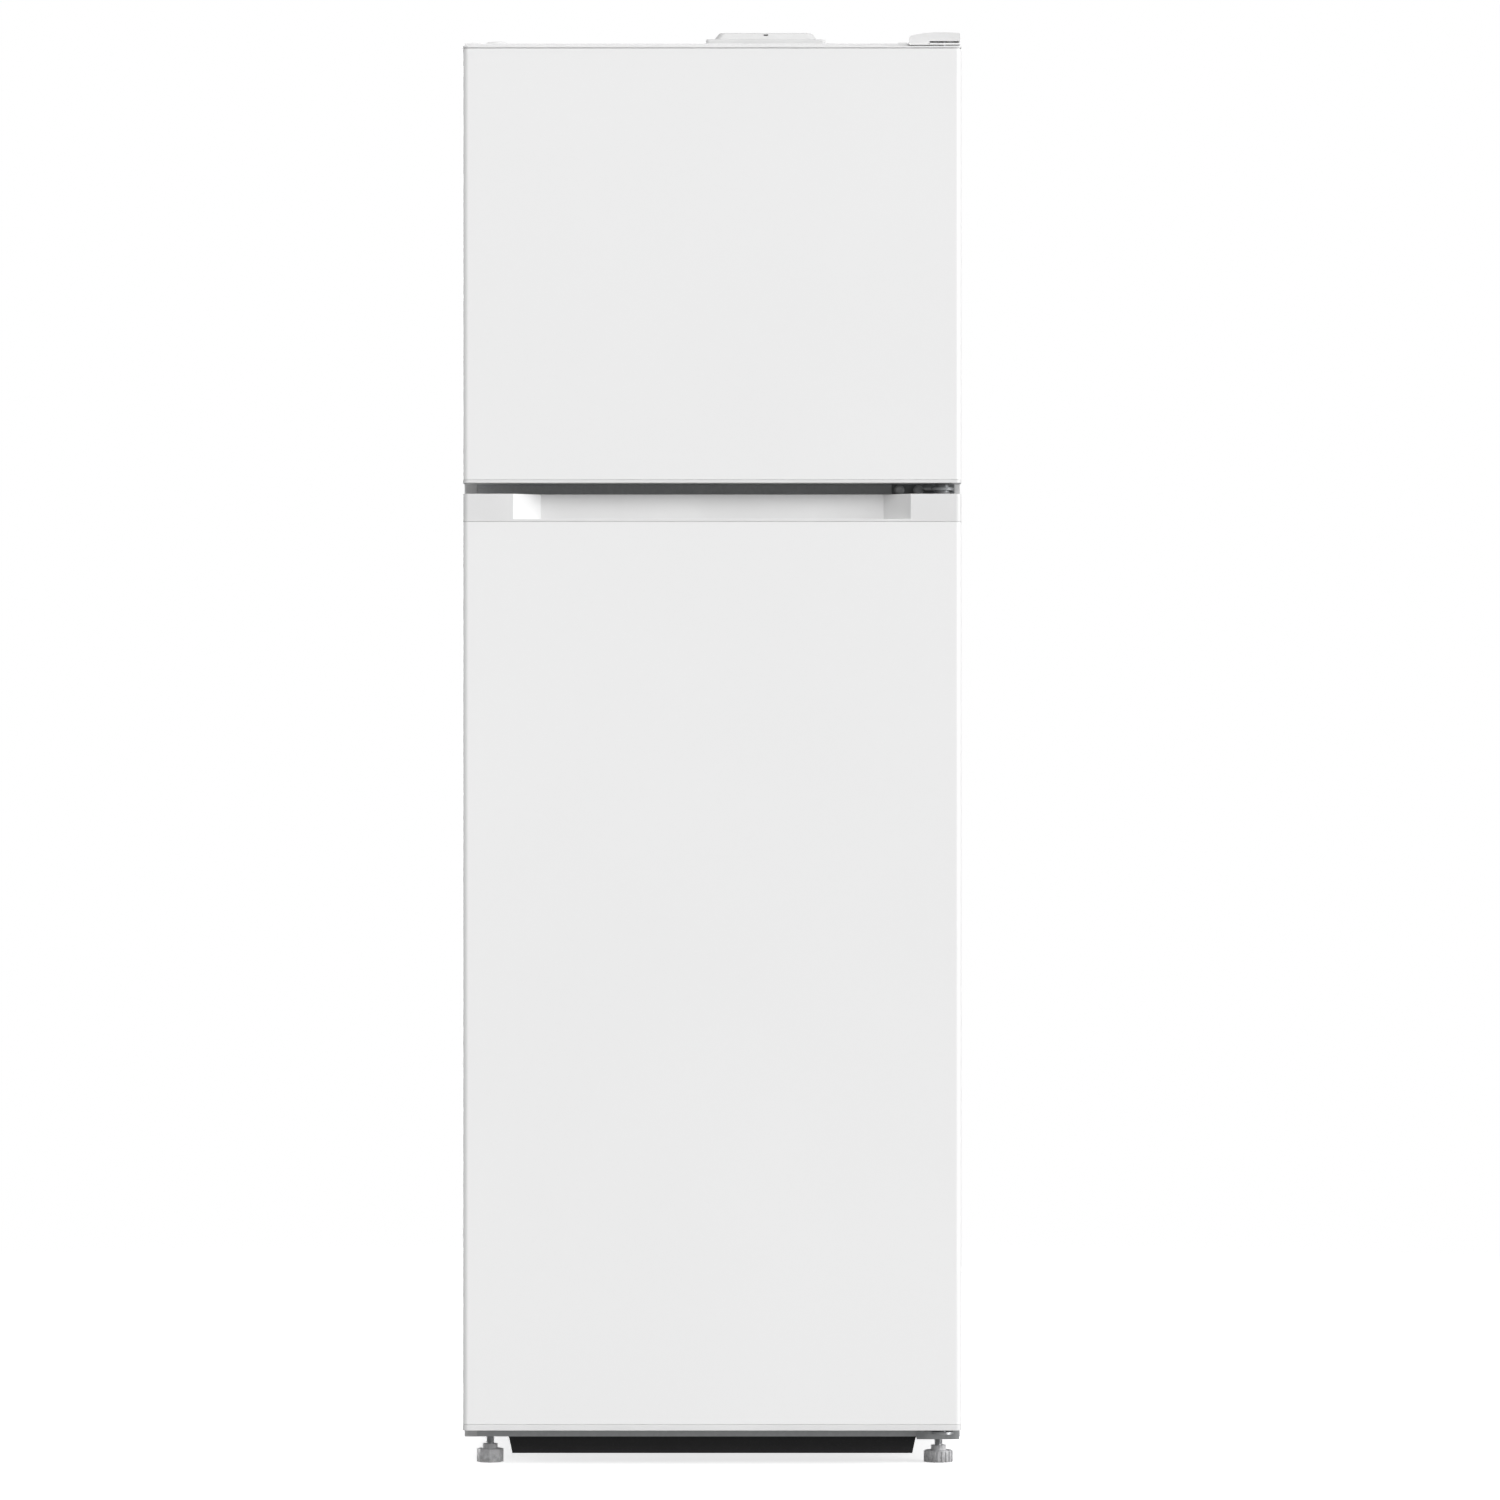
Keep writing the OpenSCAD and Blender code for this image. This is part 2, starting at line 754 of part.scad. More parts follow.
module fridge_air_duct() {
    wall = 2.5;
    color("whitesmoke")
        difference() {
            box(-duct_half, duct_half, duct_front, inner_back, duct_z0, duct_z1);
            box(-duct_half + wall, duct_half - wall, duct_front + wall, inner_back + over,
                duct_z0 + wall, duct_z1 - wall);
            for (i = [1 : shelf_count], k = [-1, 0, 1])
                box(-34, 34, duct_front - over, duct_front + wall + over,
                    shelf_z(i) - 34 + k * 12, shelf_z(i) - 28 + k * 12);
            rod_y(dial_shaft_r + run_gap, 0, duct_front - over, duct_front + wall + over, dial_z);
        }
}

module temperature_dial() {
    dial_r = 19;
    dial_back = duct_front - 0.5;
    grip_w = 5;
    color("white") {
        rod_y(dial_r, 0, dial_back - 6, dial_back, dial_z);
        rod_y(dial_shaft_r, 0, dial_back - 1, duct_front + 9, dial_z);
        box(-grip_w / 2, grip_w / 2, dial_back - 14, dial_back - 5, dial_z - dial_r + 3, dial_z + dial_r - 3);
    }
}

module lamp_cover() {
    half = 62;
    h = 16;
    y0 = -70;
    y1 = 60;
    color("white")
        difference() {
            box(-half, half, y0, y1, beam_z0 - h, beam_z0);
            box(-half + 2, half - 2, y0 + 2, y1 - 2, beam_z0 - h + 2, beam_z0 + over);
        }
}

/* ---- control box and hinges ---- */

board_y = door_front + 120;
board_x = 64;
board_d = 190;
board_half = 72.4;

module control_box_cover() {
    low_h = 10;
    top_h = 18.5;
    half_mid = 61.6;
    half_top = 55.4;
    wall = 2;
    color("whitesmoke")
        difference() {
            union() {
                box(board_x - board_half, board_x + board_half, board_y, board_y + board_d,
                    cab_h, cab_h + low_h);
                translate([board_x, board_y + board_d - 8, cab_h])
                    rotate([90, 0, 0])
                        linear_extrude(board_d - 16)
                            polygon([[-half_mid, low_h - 1], [half_mid, low_h - 1],
                                     [half_top, top_h], [-half_top, top_h]]);
            }
            box(board_x - board_half + wall, board_x + board_half - wall, board_y + wall,
                board_y + board_d - wall, cab_h - over, cab_h + low_h - wall);
            box(board_x - half_top + 2 * wall, board_x + half_top - 2 * wall, board_y + 12,
                board_y + board_d - 12, cab_h + low_h - wall - over, cab_h + top_h - wall);
        }
}

module control_board() {
    pcb_z = cab_h + 3;
    pcb_t = 1.6;
    half = board_half - 12;
    y0 = board_y + 14;
    y1 = board_y + board_d - 14;
    color("seagreen") {
        box(board_x - half, board_x + half, y0, y1, pcb_z, pcb_z + pcb_t);
        for (x = [board_x - half + 6, board_x + half - 6], y = [y0 + 6, y1 - 6])
            translate([x, y, cab_h])
                cylinder(r = 3, h = 3);
        for (i = [0 : 2])
            box(board_x - 40 + i * 24, board_x - 24 + i * 24, y0 + 30, y0 + 50, pcb_z, pcb_z + 11);
        for (i = [0 : 1])
            translate([board_x - 30 + i * 26, y0 + 96, pcb_z])
                cylinder(r = 6, h = 11);
        box(board_x - 42, board_x + 42, y1 - 26, y1 - 16, pcb_z, pcb_z + 8);
    }
}

// Places of the screws: the top hinge's, then the middle hinge's, then the bottom hinge's
top_screws = [[hinge_x0 + 12, face_y + 24], [hinge_x0 + 39, face_y + 24], [hinge_x0 + 25, face_y + 62]];
mid_screws = [half_w - 73, half_w - 50];
low_screws = [hinge_x0 + 6, hinge_x0 + hinge_w - 7];
low_screw_y = face_y + 40;

module hinge_pin(z0, z1) {
    translate([pin_x, pin_y, z0])
        cylinder(r = pin_r, h = z1 - z0);
}

// The rounded nose of a hinge plate around its pin
module hinge_nose(z0) {
    nose_r = 13;
    translate([0, 0, z0])
        linear_extrude(plate_t) {
            translate([pin_x, pin_y])
                circle(r = nose_r);
            translate([hinge_x0 + 8, pin_y])
                square([pin_x + nose_r - hinge_x0 - 8, face_y - pin_y]);
        }
}

module top_hinge() {
    color("silver")
        difference() {
            union() {
                hinge_nose(cab_h);
                box(hinge_x0, hinge_x0 + hinge_w - 2, face_y - over, face_y + 78, cab_h, cab_h + plate_t);
                hinge_pin(freezer_z1 - skin_set - pin_deep + pin_tip_gap, cab_h + plate_t);
            }
            for (p = top_screws)
                translate([p.x, p.y, cab_h - over])
                    cylinder(r = screw_r + run_gap, h = plate_t + 2 * over);
        }
}

module top_hinge_cover() {
    x0 = half_w - 62;
    x1 = half_w - 1.5;
    y0 = door_front + 8;
    y1 = face_y + 86;
    top_z = cab_h + 8.5;
    wall = 1.5;
    color("whitesmoke")
        difference() {
            union() {
                box(x0, x1, y0, y1, cab_h, top_z);
                box(x0 + 24, x1, y0, face_y - 1.5, cab_h - 4, cab_h + over);
            }
            box(x0 + wall, x1 - wall, y0 + wall, y1 - wall, cab_h - over, top_z - wall);
            box(x0 + 24 + wall, x1 - wall, y0 + wall, face_y - 1.5 - wall, cab_h - 5, cab_h);
        }
}

module middle_hinge() {
    flange_z0 = fridge_z1 - 2;
    flange_z1 = freezer_z0 + 2;
    flange_x0 = half_w - 82;
    color("silver")
        difference() {
            union() {
                hinge_nose(mid_plate_z);
                box(flange_x0, half_w - 7, face_y - plate_t, face_y, flange_z0, flange_z1);
                hinge_pin(fridge_z1 - pin_deep + pin_tip_gap, freezer_z0 + pin_deep - pin_tip_gap);
                translate([pin_x, pin_y, fridge_z1 + 0.5])
                    cylinder(r = pin_r + 4, h = door_gap - 1);
            }
            for (x = mid_screws)
                rod_y(screw_r + run_gap, x, face_y - plate_t - over, face_y + over, beam_mid);
        }
}

module bottom_hinge() {
    x1 = half_w - sheet_t;
    color("silver")
        difference() {
            union() {
                hinge_nose(low_plate_z);
                box(hinge_x0, x1, face_y - plate_t, face_y, ground_gap - plate_t, low_plate_z + plate_t);
                box(hinge_x0, x1, face_y - plate_t, face_y + 48, ground_gap - plate_t, ground_gap);
                hinge_pin(low_plate_z, fridge_z0 + pin_deep - pin_tip_gap);
            }
            translate([right_foot_x, foot_y, ground_gap - plate_t - over])
                cylinder(r = stud_r + 0.4, h = plate_t + 2 * over);
            for (x = low_screws)
                translate([x, low_screw_y, ground_gap - plate_t - over])
                    cylinder(r = screw_r + run_gap, h = plate_t + 2 * over);
        }
}

// A hexagonal screw head on a shank as long as the plate under it
module screw() {
    cylinder(r = screw_head_r, h = screw_head_h, $fn = 6);
    mirror([0, 0, 1])
        cylinder(r = screw_r, h = plate_t);
}

module hinge_screws() {
    color("silver") {
        for (p = top_screws)
            translate([p.x, p.y, cab_h + plate_t])
                screw();
        for (x = mid_screws)
            translate([x, face_y - plate_t, beam_mid])
                rotate([90, 0, 0])
                    screw();
        for (x = low_screws)
            translate([x, low_screw_y, ground_gap - plate_t])
                mirror([0, 0, 1])
                    screw();
    }
}

module hole_plugs() {
    color("gainsboro") {
        box(-half_w + 8, -half_w + 19, face_y + 8, face_y + 20, cab_h, cab_h + 2);
        translate([-half_w + 38, face_y + 30, cab_h])
            cylinder(r = 14.5, h = 4);
        box(-half_w + 1.5, -half_w + flange_w, face_y - 2, face_y, fridge_z1 + 1, freezer_z0 - 1);
    }
}

/* ---- inside the compartments ---- */

// A glass shelf with its front trim, between side walls at half width half
module shelf(half, y0, y1, z) {
    box(-half, half, y0, y1, z, z + glass_t);
    box(-half, half, y0 - 8, y0 + 4, z - 7, z + glass_t + 3);
}

module fridge_shelves() {
    color("lightcyan")
        for (i = [1 : shelf_count])
            shelf(fridge_in - 2, shelf_front, shelf_back, shelf_z(i));
}

module crisper_cover() {
    color("lightcyan")
        shelf(fridge_in - 2, crisper_front + 12, inner_back - 3, ledge_z);
}

module freezer_shelf() {
    color("lightcyan")
        shelf(freezer_in - 2, shelf_front - 5, cover_y - 4, fz_shelf_z);
}

module crisper_drawer() {
    half = fridge_in - crisper_wall_gap;
    grip_half = 60;
    color("aliceblue")
        difference() {
            open_bin(-half, half, crisper_front, step_y - 6, fridge_floor + 0.3, crisper_top, bin_t);
            box(-grip_half, grip_half, crisper_front - over, crisper_front + bin_t + over,
                crisper_top - 16, crisper_top + over);
        }
}

module ice_tray_holder() {
    half = holder_w / 2;
    z0 = fz_shelf_z + glass_t;
    z1 = z0 + holder_h;
    half_d = holder_d / 2;
    color("whitesmoke")
        translate([holder_x, 0, 0])
            difference() {
                union() {
                    box(-half, -half + holder_t, -half_d, half_d, z0, z1);
                    box(half - holder_t, half, -half_d, half_d, z0, z1);
                    box(-half, half, -half_d, -half_d + 4, z1 - 28, z1);
                    box(-half, half, half_d - 4, half_d, z1 - 28, z1);
                }
                rod_y(tray_pivot_r + run_gap, 0, -half_d - over, half_d + over, tray_axis_z);
            }
}

module ice_box() {
    half = holder_w / 2 - holder_t - 2;
    z0 = fz_shelf_z + glass_t;
    color("white")
        open_bin(holder_x - half, holder_x + half, -holder_d / 2 + 3, holder_d / 2 - 5, z0, z0 + 46, bin_t);
}

module ice_tray() {
    z_low = tray_axis_z - tray_h / 2;
    z_top = tray_axis_z + tray_h / 2;
    half_d = holder_d / 2;
    color("white")
        translate([holder_x, 0, 0]) {
            difference() {
                box(-tray_half_w, tray_half_w, -tray_half_l, tray_half_l, z_low, z_top);
                for (i = [0, 1], j = [-1, 0, 1]) {
                    x0 = i * (cell_w + tray_wall) - cell_w - tray_wall / 2;
                    y0 = j * (cell_l + tray_wall) - cell_l / 2;
                    box(x0, x0 + cell_w, y0, y0 + cell_l, z_low + tray_wall, z_top + over);
                }
            }
            for (end = [0, 1])
                mirror([0, end, 0])
                    rod_y(tray_pivot_r, 0, tray_half_l - over, half_d - 0.5, tray_axis_z);
            rod_y(tray_pivot_r, 0, -half_d - 1, -tray_half_l, tray_axis_z);
            rod_y(14, 0, -half_d - 8, -half_d - 0.6, tray_axis_z);
        }
}

/* ---- doors ---- */

// A door's plan, set in by its skin and with rounded front edges
module door_plan(inset, back) {
    side = half_w - inset;
    front = door_front + inset;
    round_x = half_w - edge_r;
    round_y = door_front + edge_r;
    translate([-round_x, front])
        square([2 * round_x, back - front]);
    translate([-side, round_y])
        square([2 * side, back - round_y]);
    for (s = [-1, 1])
        translate([s * round_x, round_y])
            circle(r = edge_r - inset);
}

module door_block(inset, back, z0, z1) {
    translate([0, 0, z0])
        linear_extrude(z1 - z0)
            door_plan(inset, back);
}

module door_skin(z0, z1) {
    difference() {
        door_block(0, door_back, z0, z1);
        translate([0, 0, z0 - over])
            linear_extrude(z1 - z0 + 2 * over)
                door_plan(sheet_t, door_back + over);
    }
}

module pin_bore(z0, z1) {
    translate([pin_x, pin_y, z0])
        cylinder(r = bore_r, h = z1 - z0);
}

// The raised frame on a door's inner face: outside half width, levels, and how far it is set in
module dyke_ring(half, z0, z1, inset, y0, y1) {
    difference() {
        box(-half + inset, half - inset, y0, y1, z0 + inset, z1 - inset);
        box(-half + dyke_w - inset, half - dyke_w + inset, y0 - over, y1 + over,
            z0 + dyke_w - inset, z1 - dyke_w + inset);
    }
}

// A door liner: z0 and z1 are its flange's levels, low and high those of the raised frame
module door_liner(half, z0, z1, low, high, bin_levels) {
    flange_x = half_w - sheet_t;
    flange_y = door_back - liner_t;
    ledge_x = half - dyke_w;
    difference() {
        union() {
            box(-flange_x, flange_x, flange_y, door_back, z0, z1);
            dyke_ring(half, low, high, 0, flange_y, door_back + dyke_h);
        }
        dyke_ring(half, low, high, liner_t, flange_y - over, door_back + dyke_h - liner_t);
    }
    both_sides()
        for (z = bin_levels)
            box(ledge_x - 8, ledge_x + 1, door_back - 1, door_back + dyke_h - 5, z - 6, z);
}

// A door's foam: the slab and the four bars inside the raised frame
module door_foam(half, z0, z1, low, high) {
    slab_back = door_back - liner_t;
    bar_y0 = slab_back + foam_gap;
    bar_y1 = door_back + dyke_h - liner_t - foam_gap;
    out = half - liner_t;
    in = half - dyke_w + liner_t;
    door_block(sheet_t, slab_back, z0, z1);
    both_sides()
        box(in, out, bar_y0, bar_y1, low + liner_t, high - liner_t);
    for (z = [low + liner_t, high - dyke_w + liner_t])
        box(-in + foam_gap, in - foam_gap, bar_y0, bar_y1, z, z + dyke_w - 2 * liner_t);
}

module door_gasket(open_half, open_z0, open_z1) {
    in_x = open_half + seal_side;
    in_z0 = open_z0 - seal_margin;
    in_z1 = open_z1 + seal_margin;
    difference() {
        box(-in_x - seal_w, in_x + seal_w, door_back, face_y - seal_gap, in_z0 - seal_w, in_z1 + seal_w);
        box(-in_x, in_x, door_back - over, face_y + over, in_z0, in_z1);
    }
}

freezer_dyke_half = freezer_in - dyke_gap;
fridge_dyke_half = fridge_in - dyke_gap;
freezer_bins = [for (i = [0 : freezer_bin_count - 1]) freezer_bin_z0 + i * freezer_bin_pitch];
fridge_bins = [for (i = [0 : fridge_bin_count - 1]) fridge_bin_z(i)];

module door_bin(dyke_half, depth, z, h) {
    half = dyke_half - dyke_w - bin_side_gap;
    open_bin(-half, half, door_back + 0.3, door_back + depth, z, z + h, bin_t);
}

module freezer_door_skin() {
    color("white")
        door_skin(freezer_z0 + freezer_trim_h, freezer_z1);
}

module freezer_door_top_cap() {
    z1 = freezer_z1 - skin_set;
    color("gainsboro")
        difference() {
            door_block(sheet_t, door_back - liner_t, z1 - plug_h, z1);
            pin_bore(z1 - pin_deep, z1 + over);
        }
}

module freezer_door_bottom_cap() {
    plate_z1 = freezer_z0 + freezer_trim_h;
    grip_half = pocket_half_back - 5;
    color("gainsboro")
        difference() {
            union() {
                door_block(0, door_back, freezer_z0, plate_z1);
                door_block(sheet_t, door_back - liner_t, freezer_z0 + over, plate_z1 + plug_h);
            }
            pin_bore(freezer_z0 - over, freezer_z0 + pin_deep);
            box(-grip_half, grip_half, door_front + 11, door_front + 34,
                freezer_z0 - over, freezer_z0 + plug_h - 3);
        }
}

module freezer_door_liner() {
    color("white")
        door_liner(freezer_dyke_half, freezer_z0 + freezer_trim_h, freezer_z1 - skin_set,
                   freezer_floor + dyke_gap, ceiling_z - dyke_gap, freezer_bins);
}

module freezer_door_foam() {
    color("khaki")
        door_foam(freezer_dyke_half, freezer_z0 + freezer_trim_h + plug_h,
                  freezer_z1 - skin_set - plug_h, freezer_floor + dyke_gap, ceiling_z - dyke_gap);
}

module freezer_door_gasket() {
    color("lightgray")
        door_gasket(freezer_in, freezer_floor, ceiling_z);
}

module freezer_door_bins() {
    color("aliceblue")
        for (z = freezer_bins)
            door_bin(freezer_dyke_half, freezer_bin_d, z, bin_h);
}

handle_z0 = fridge_z1 - handle_cap_h;

module fridge_door_skin() {
    color("white")
        door_skin(fridge_z0 + fridge_trim_h, handle_z0);
}

module fridge_door_handle_cap() {
    lip_z = handle_z0 + pocket_lip_h;
    lip_d = 4;
    color("gainsboro")
        difference() {
            union() {
                door_block(0, door_back - liner_t, handle_z0, fridge_z1);
                door_block(sheet_t, door_back - liner_t, handle_z0 - handle_plug_h, handle_z0 + over);
            }
            pin_bore(fridge_z1 - pin_deep, fridge_z1 + over);
            translate([0, 0, lip_z])
                linear_extrude(handle_cap_h)
                    polygon([[-pocket_half_front, door_front - over], [pocket_half_front, door_front - over],
                             [pocket_half_front, door_front], [pocket_half_back, door_front + pocket_d],
                             [-pocket_half_back, door_front + pocket_d], [-pocket_half_front, door_front]]);
            box(-pocket_half_back, pocket_half_back, door_front + lip_d, door_front + pocket_d,
                lip_z - finger_h, lip_z + over);
        }
}

module fridge_door_bottom_cap() {
    plate_z1 = fridge_z0 + fridge_trim_h;
    color("gainsboro")
        difference() {
            union() {
                door_block(0, door_back, fridge_z0, plate_z1);
                door_block(sheet_t, door_back - liner_t, fridge_z0 + over, plate_z1 + plug_h);
            }
            pin_bore(fridge_z0 - over, fridge_z0 + pin_deep);
        }
}

module fridge_door_liner() {
    color("white")
        door_liner(fridge_dyke_half, fridge_z0 + fridge_trim_h, fridge_z1 - 2,
                   fridge_floor + dyke_gap, beam_z0 - dyke_gap, fridge_bins);
}

module fridge_door_foam() {
    color("khaki")
        door_foam(fridge_dyke_half, fridge_z0 + fridge_trim_h + plug_h, handle_z0 - handle_plug_h,
                  fridge_floor + dyke_gap, beam_z0 - dyke_gap);
}

module fridge_door_gasket() {
    color("lightgray")
        door_gasket(fridge_in, fridge_floor, beam_z0);
}

module fridge_door_bins() {
    color("aliceblue")
        for (i = [0 : fridge_bin_count - 1])
            door_bin(fridge_dyke_half, i == 0 ? fridge_bin_d : fridge_bin_d - 15, fridge_bin_z(i),
                     i == 0 ? bottle_bin_h : bin_h);
}

/* ---- feet ---- */

module foot_stud(x) {
    translate([x, foot_y, stud_seat])
        cylinder(r = stud_r, h = stud_top - stud_seat);
}

module stud_socket(x, top) {
    translate([x, foot_y, stud_seat])
        cylinder(r = stud_r + run_gap, h = top);
}

module left_foot_stud() {
    color("silver")
        foot_stud(left_foot_x);
}

module left_foot_base() {
    color("lightgray")
        difference() {
            translate([left_foot_x, foot_y, 0]) {
                cylinder(r = left_base_r, h = left_base_h, $fn = 8);
                cylinder(r = collar_r, h = left_base_h + collar_h);
            }
            stud_socket(left_foot_x, left_base_h + collar_h);
        }
}

module right_foot_stud() {
    color("silver")
        foot_stud(right_foot_x);
}

module right_foot_base() {
    ribs = 20;
    rib_d = 1.5;
    color("lightgray")
        difference() {
            translate([right_foot_x, foot_y, 0]) {
                cylinder(r = right_base_r - rib_d, h = right_base_h);
                cylinder(r = collar_r, h = right_base_h + collar_h);
                for (i = [0 : ribs - 1])
                    rotate([0, 0, i * 360 / ribs])
                        box(0, right_base_r, -1.2, 1.2, 0, right_base_h - 1);
            }
            stud_socket(right_foot_x, right_base_h + collar_h);
        }
}

side_panels();
top_panel();
back_panel();
cabinet_floor();
cabinet_foam();
freezer_liner();
fridge_liner();
centre_beam();
lower_front_beam();
toe_kick();
base_plate();
compressor();
compressor_mounts();
condenser_coil();
drip_tray();
refrigerant_pipes();
machine_cover();
evaporator();
fan_motor();
freezer_duct_cover();
fridge_air_duct();
control_box_cover();
control_board();
top_hinge();
top_hinge_cover();
middle_hinge();
bottom_hinge();
hinge_screws();
hole_plugs();
freezer_shelf();
ice_tray_holder();
ice_box();
fridge_shelves();
crisper_cover();
lamp_cover();
cord_inlet();
fan_blade();
left_foot_stud();
left_foot_base();
right_foot_stud();
right_foot_base();
rear_roller_left();
rear_roller_right();
ice_tray();
crisper_drawer();
temperature_dial();
freezer_door_skin();
freezer_door_top_cap();
freezer_door_bottom_cap();
freezer_door_liner();
freezer_door_foam();
freezer_door_gasket();
freezer_door_bins();
fridge_door_skin();
fridge_door_handle_cap();
fridge_door_bottom_cap();
fridge_door_liner();
fridge_door_foam();
fridge_door_gasket();
fridge_door_bins();
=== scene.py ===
"""Finishes the refrigerator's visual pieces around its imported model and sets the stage."""

import json
import math

import bmesh
import bpy
from bpy.props import FloatProperty, FloatVectorProperty, PointerProperty
from mathutils import Matrix, Vector

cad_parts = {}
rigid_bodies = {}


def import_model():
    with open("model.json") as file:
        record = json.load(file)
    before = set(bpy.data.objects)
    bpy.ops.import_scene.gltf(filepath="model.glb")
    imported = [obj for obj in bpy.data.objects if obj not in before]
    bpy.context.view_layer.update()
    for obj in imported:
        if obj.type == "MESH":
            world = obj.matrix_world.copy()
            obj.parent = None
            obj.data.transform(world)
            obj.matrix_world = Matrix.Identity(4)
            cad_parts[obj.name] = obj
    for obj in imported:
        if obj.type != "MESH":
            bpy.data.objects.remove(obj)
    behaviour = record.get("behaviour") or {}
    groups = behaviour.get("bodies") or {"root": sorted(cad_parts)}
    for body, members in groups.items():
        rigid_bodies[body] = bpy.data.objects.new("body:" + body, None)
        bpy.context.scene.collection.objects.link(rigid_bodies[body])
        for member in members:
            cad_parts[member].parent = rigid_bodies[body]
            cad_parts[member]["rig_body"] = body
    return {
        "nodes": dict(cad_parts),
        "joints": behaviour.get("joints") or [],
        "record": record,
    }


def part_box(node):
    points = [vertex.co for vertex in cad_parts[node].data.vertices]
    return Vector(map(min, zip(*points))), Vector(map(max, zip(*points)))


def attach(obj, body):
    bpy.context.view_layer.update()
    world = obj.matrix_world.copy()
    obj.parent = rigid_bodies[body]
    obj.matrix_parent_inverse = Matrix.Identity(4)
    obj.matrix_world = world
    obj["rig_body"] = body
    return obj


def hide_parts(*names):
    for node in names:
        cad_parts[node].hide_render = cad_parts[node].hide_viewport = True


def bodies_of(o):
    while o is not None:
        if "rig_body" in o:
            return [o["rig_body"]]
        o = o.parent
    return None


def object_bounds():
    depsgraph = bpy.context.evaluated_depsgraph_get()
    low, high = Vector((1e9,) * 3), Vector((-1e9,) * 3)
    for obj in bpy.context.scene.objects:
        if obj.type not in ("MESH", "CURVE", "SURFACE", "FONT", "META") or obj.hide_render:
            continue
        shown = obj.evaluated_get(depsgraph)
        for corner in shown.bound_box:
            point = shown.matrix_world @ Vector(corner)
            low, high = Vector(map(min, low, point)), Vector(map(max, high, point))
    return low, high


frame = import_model()
CAD_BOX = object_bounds()

bl_info = {
    "name": "Top freezer refrigerator finisher",
    "version": (1, 0, 0),
    "blender": (4, 5, 0),
    "location": "View3D > Sidebar > Fridge",
    "description": "Builds the refrigerator's skins, liners, bins, covers and fittings",
    "category": "Object",
}

MM = 0.001
APART = 0.03 * MM  # loops in one plane would bridge crosswise
CABINET = "cabinet"
DOORS = ("freezer_door", "fridge_door")
SNUG = 1e-5  # how far a vertex may lie from a level and still be on it
WELD = 1e-6  # vertices nearer than this are one
SHARP_CAD_EDGE = 35  # degrees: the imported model's edges that get rounded
BIN_SHELL = 4 * MM  # from the space in a door bin to the bin's outside
TRIM_DROP = 7 * MM  # how far a shelf's trim hangs below its glass
SHELF_RISE = 9 * MM  # from the underside of a shelf's glass to the space above


def white(description, *colour):
    """A colour that a user can change, in linear light."""
    return FloatVectorProperty(name=description, description=description, size=len(colour),
                               default=colour, min=0.0, max=1.0, subtype="COLOR")


def length(description, default):
    """A length that a user can change."""
    return FloatProperty(name=description, description=description, default=default,
                         min=0.0, unit="LENGTH", subtype="DISTANCE", precision=4)


class FridgeColours(bpy.types.PropertyGroup):
    """Colours of the refrigerator's finishes."""

    door: white("Paint on the doors", 0.83, 0.83, 0.83)
    cabinet: white("Paint on the cabinet", 0.76, 0.76, 0.76)
    trim: white("White trim plastic", 0.75, 0.75, 0.75)
    liner: white("Liner plastic", 0.86, 0.87, 0.87)
    gasket: white("Gasket vinyl", 0.62, 0.62, 0.63)
    foot: white("Plastic of the feet", 0.74, 0.74, 0.75)
    kick: white("Toe kick plastic", 0.03, 0.03, 0.031)
    foam: white("Insulating foam", 0.72, 0.62, 0.36)


class FridgeSizes(bpy.types.PropertyGroup):
    """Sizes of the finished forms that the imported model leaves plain."""

    sheet: length("Thickness of the sheet steel", 1.0 * MM)
    seam: length("Groove between a door's skin and its caps", 1.0 * MM)
    top_strip: length("Height of the strip along the freezer door's top", 2.2 * MM)
    edge_radius: length("Radius of the doors' upright front edges", 7.0 * MM)
    cap_radius: length("Radius of the edges of the handle and door caps", 1.2 * MM)
    liner_fillet: length("Radius of the corners inside the compartments", 8.0 * MM)
    liner_lip: length("Radius of the lip round each compartment", 3.5 * MM)
    liner_wall: length("Thickness of the formed liners", 1.6 * MM)
    dyke_width: length("Width of the raised frame on a door's inner face", 28.0 * MM)
    gasket_width: length("Width of the gaskets", 18.0 * MM)
    bin_wall: length("Wall of the bins and drawers", 2.2 * MM)
    bin_corner: length("Corner radius of the bins", 14.0 * MM)
    glass: length("Thickness of the glass shelves", 5.0 * MM)
    thread_pitch: length("Pitch of the feet's threads", 1.5 * MM)


class FridgeStage(bpy.types.PropertyGroup):
    """The camera, the lights and the floor."""

    camera_reach: length("Distance from the doors to the camera", 9.2)
    camera_height: length("Height of the camera", 0.8565)
    camera_side: length("Camera's place to the right of the middle", 0.0453)
    lens: FloatProperty(name="Lens", description="Focal length of the camera, in millimetres",
                        default=185.2, min=20.0)
    floor_radius: length("Radius of the floor", 4.0)
    key: FloatProperty(name="Key light", description="Strength of the light from the right",
                       default=1.9, min=0.0)
    fill: FloatProperty(name="Fill light", description="Strength of the light from the front",
                        default=2.0, min=0.0)
    back: FloatProperty(name="Back light", description="Strength of the light from behind",
                        default=1.5, min=0.0)
    ambient: FloatProperty(name="Ambient", description="Brightness of the room", default=0.34, min=0.0)


# ---- mesh helpers ----

def span(node):
    """A CAD node's box: lowest and highest x, y and z."""
    low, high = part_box(node)
    return low.x, high.x, low.y, high.y, low.z, high.z


def arc(centre, radius, start, end, steps=4):
    """Points on an arc between two angles in degrees."""
    turns = [math.radians(start + (end - start) * i / steps) for i in range(steps + 1)]
    return [(centre[0] + radius * math.cos(a), centre[1] + radius * math.sin(a)) for a in turns]


def edges_of(verts):
    return list({edge for vert in verts for edge in vert.link_edges})


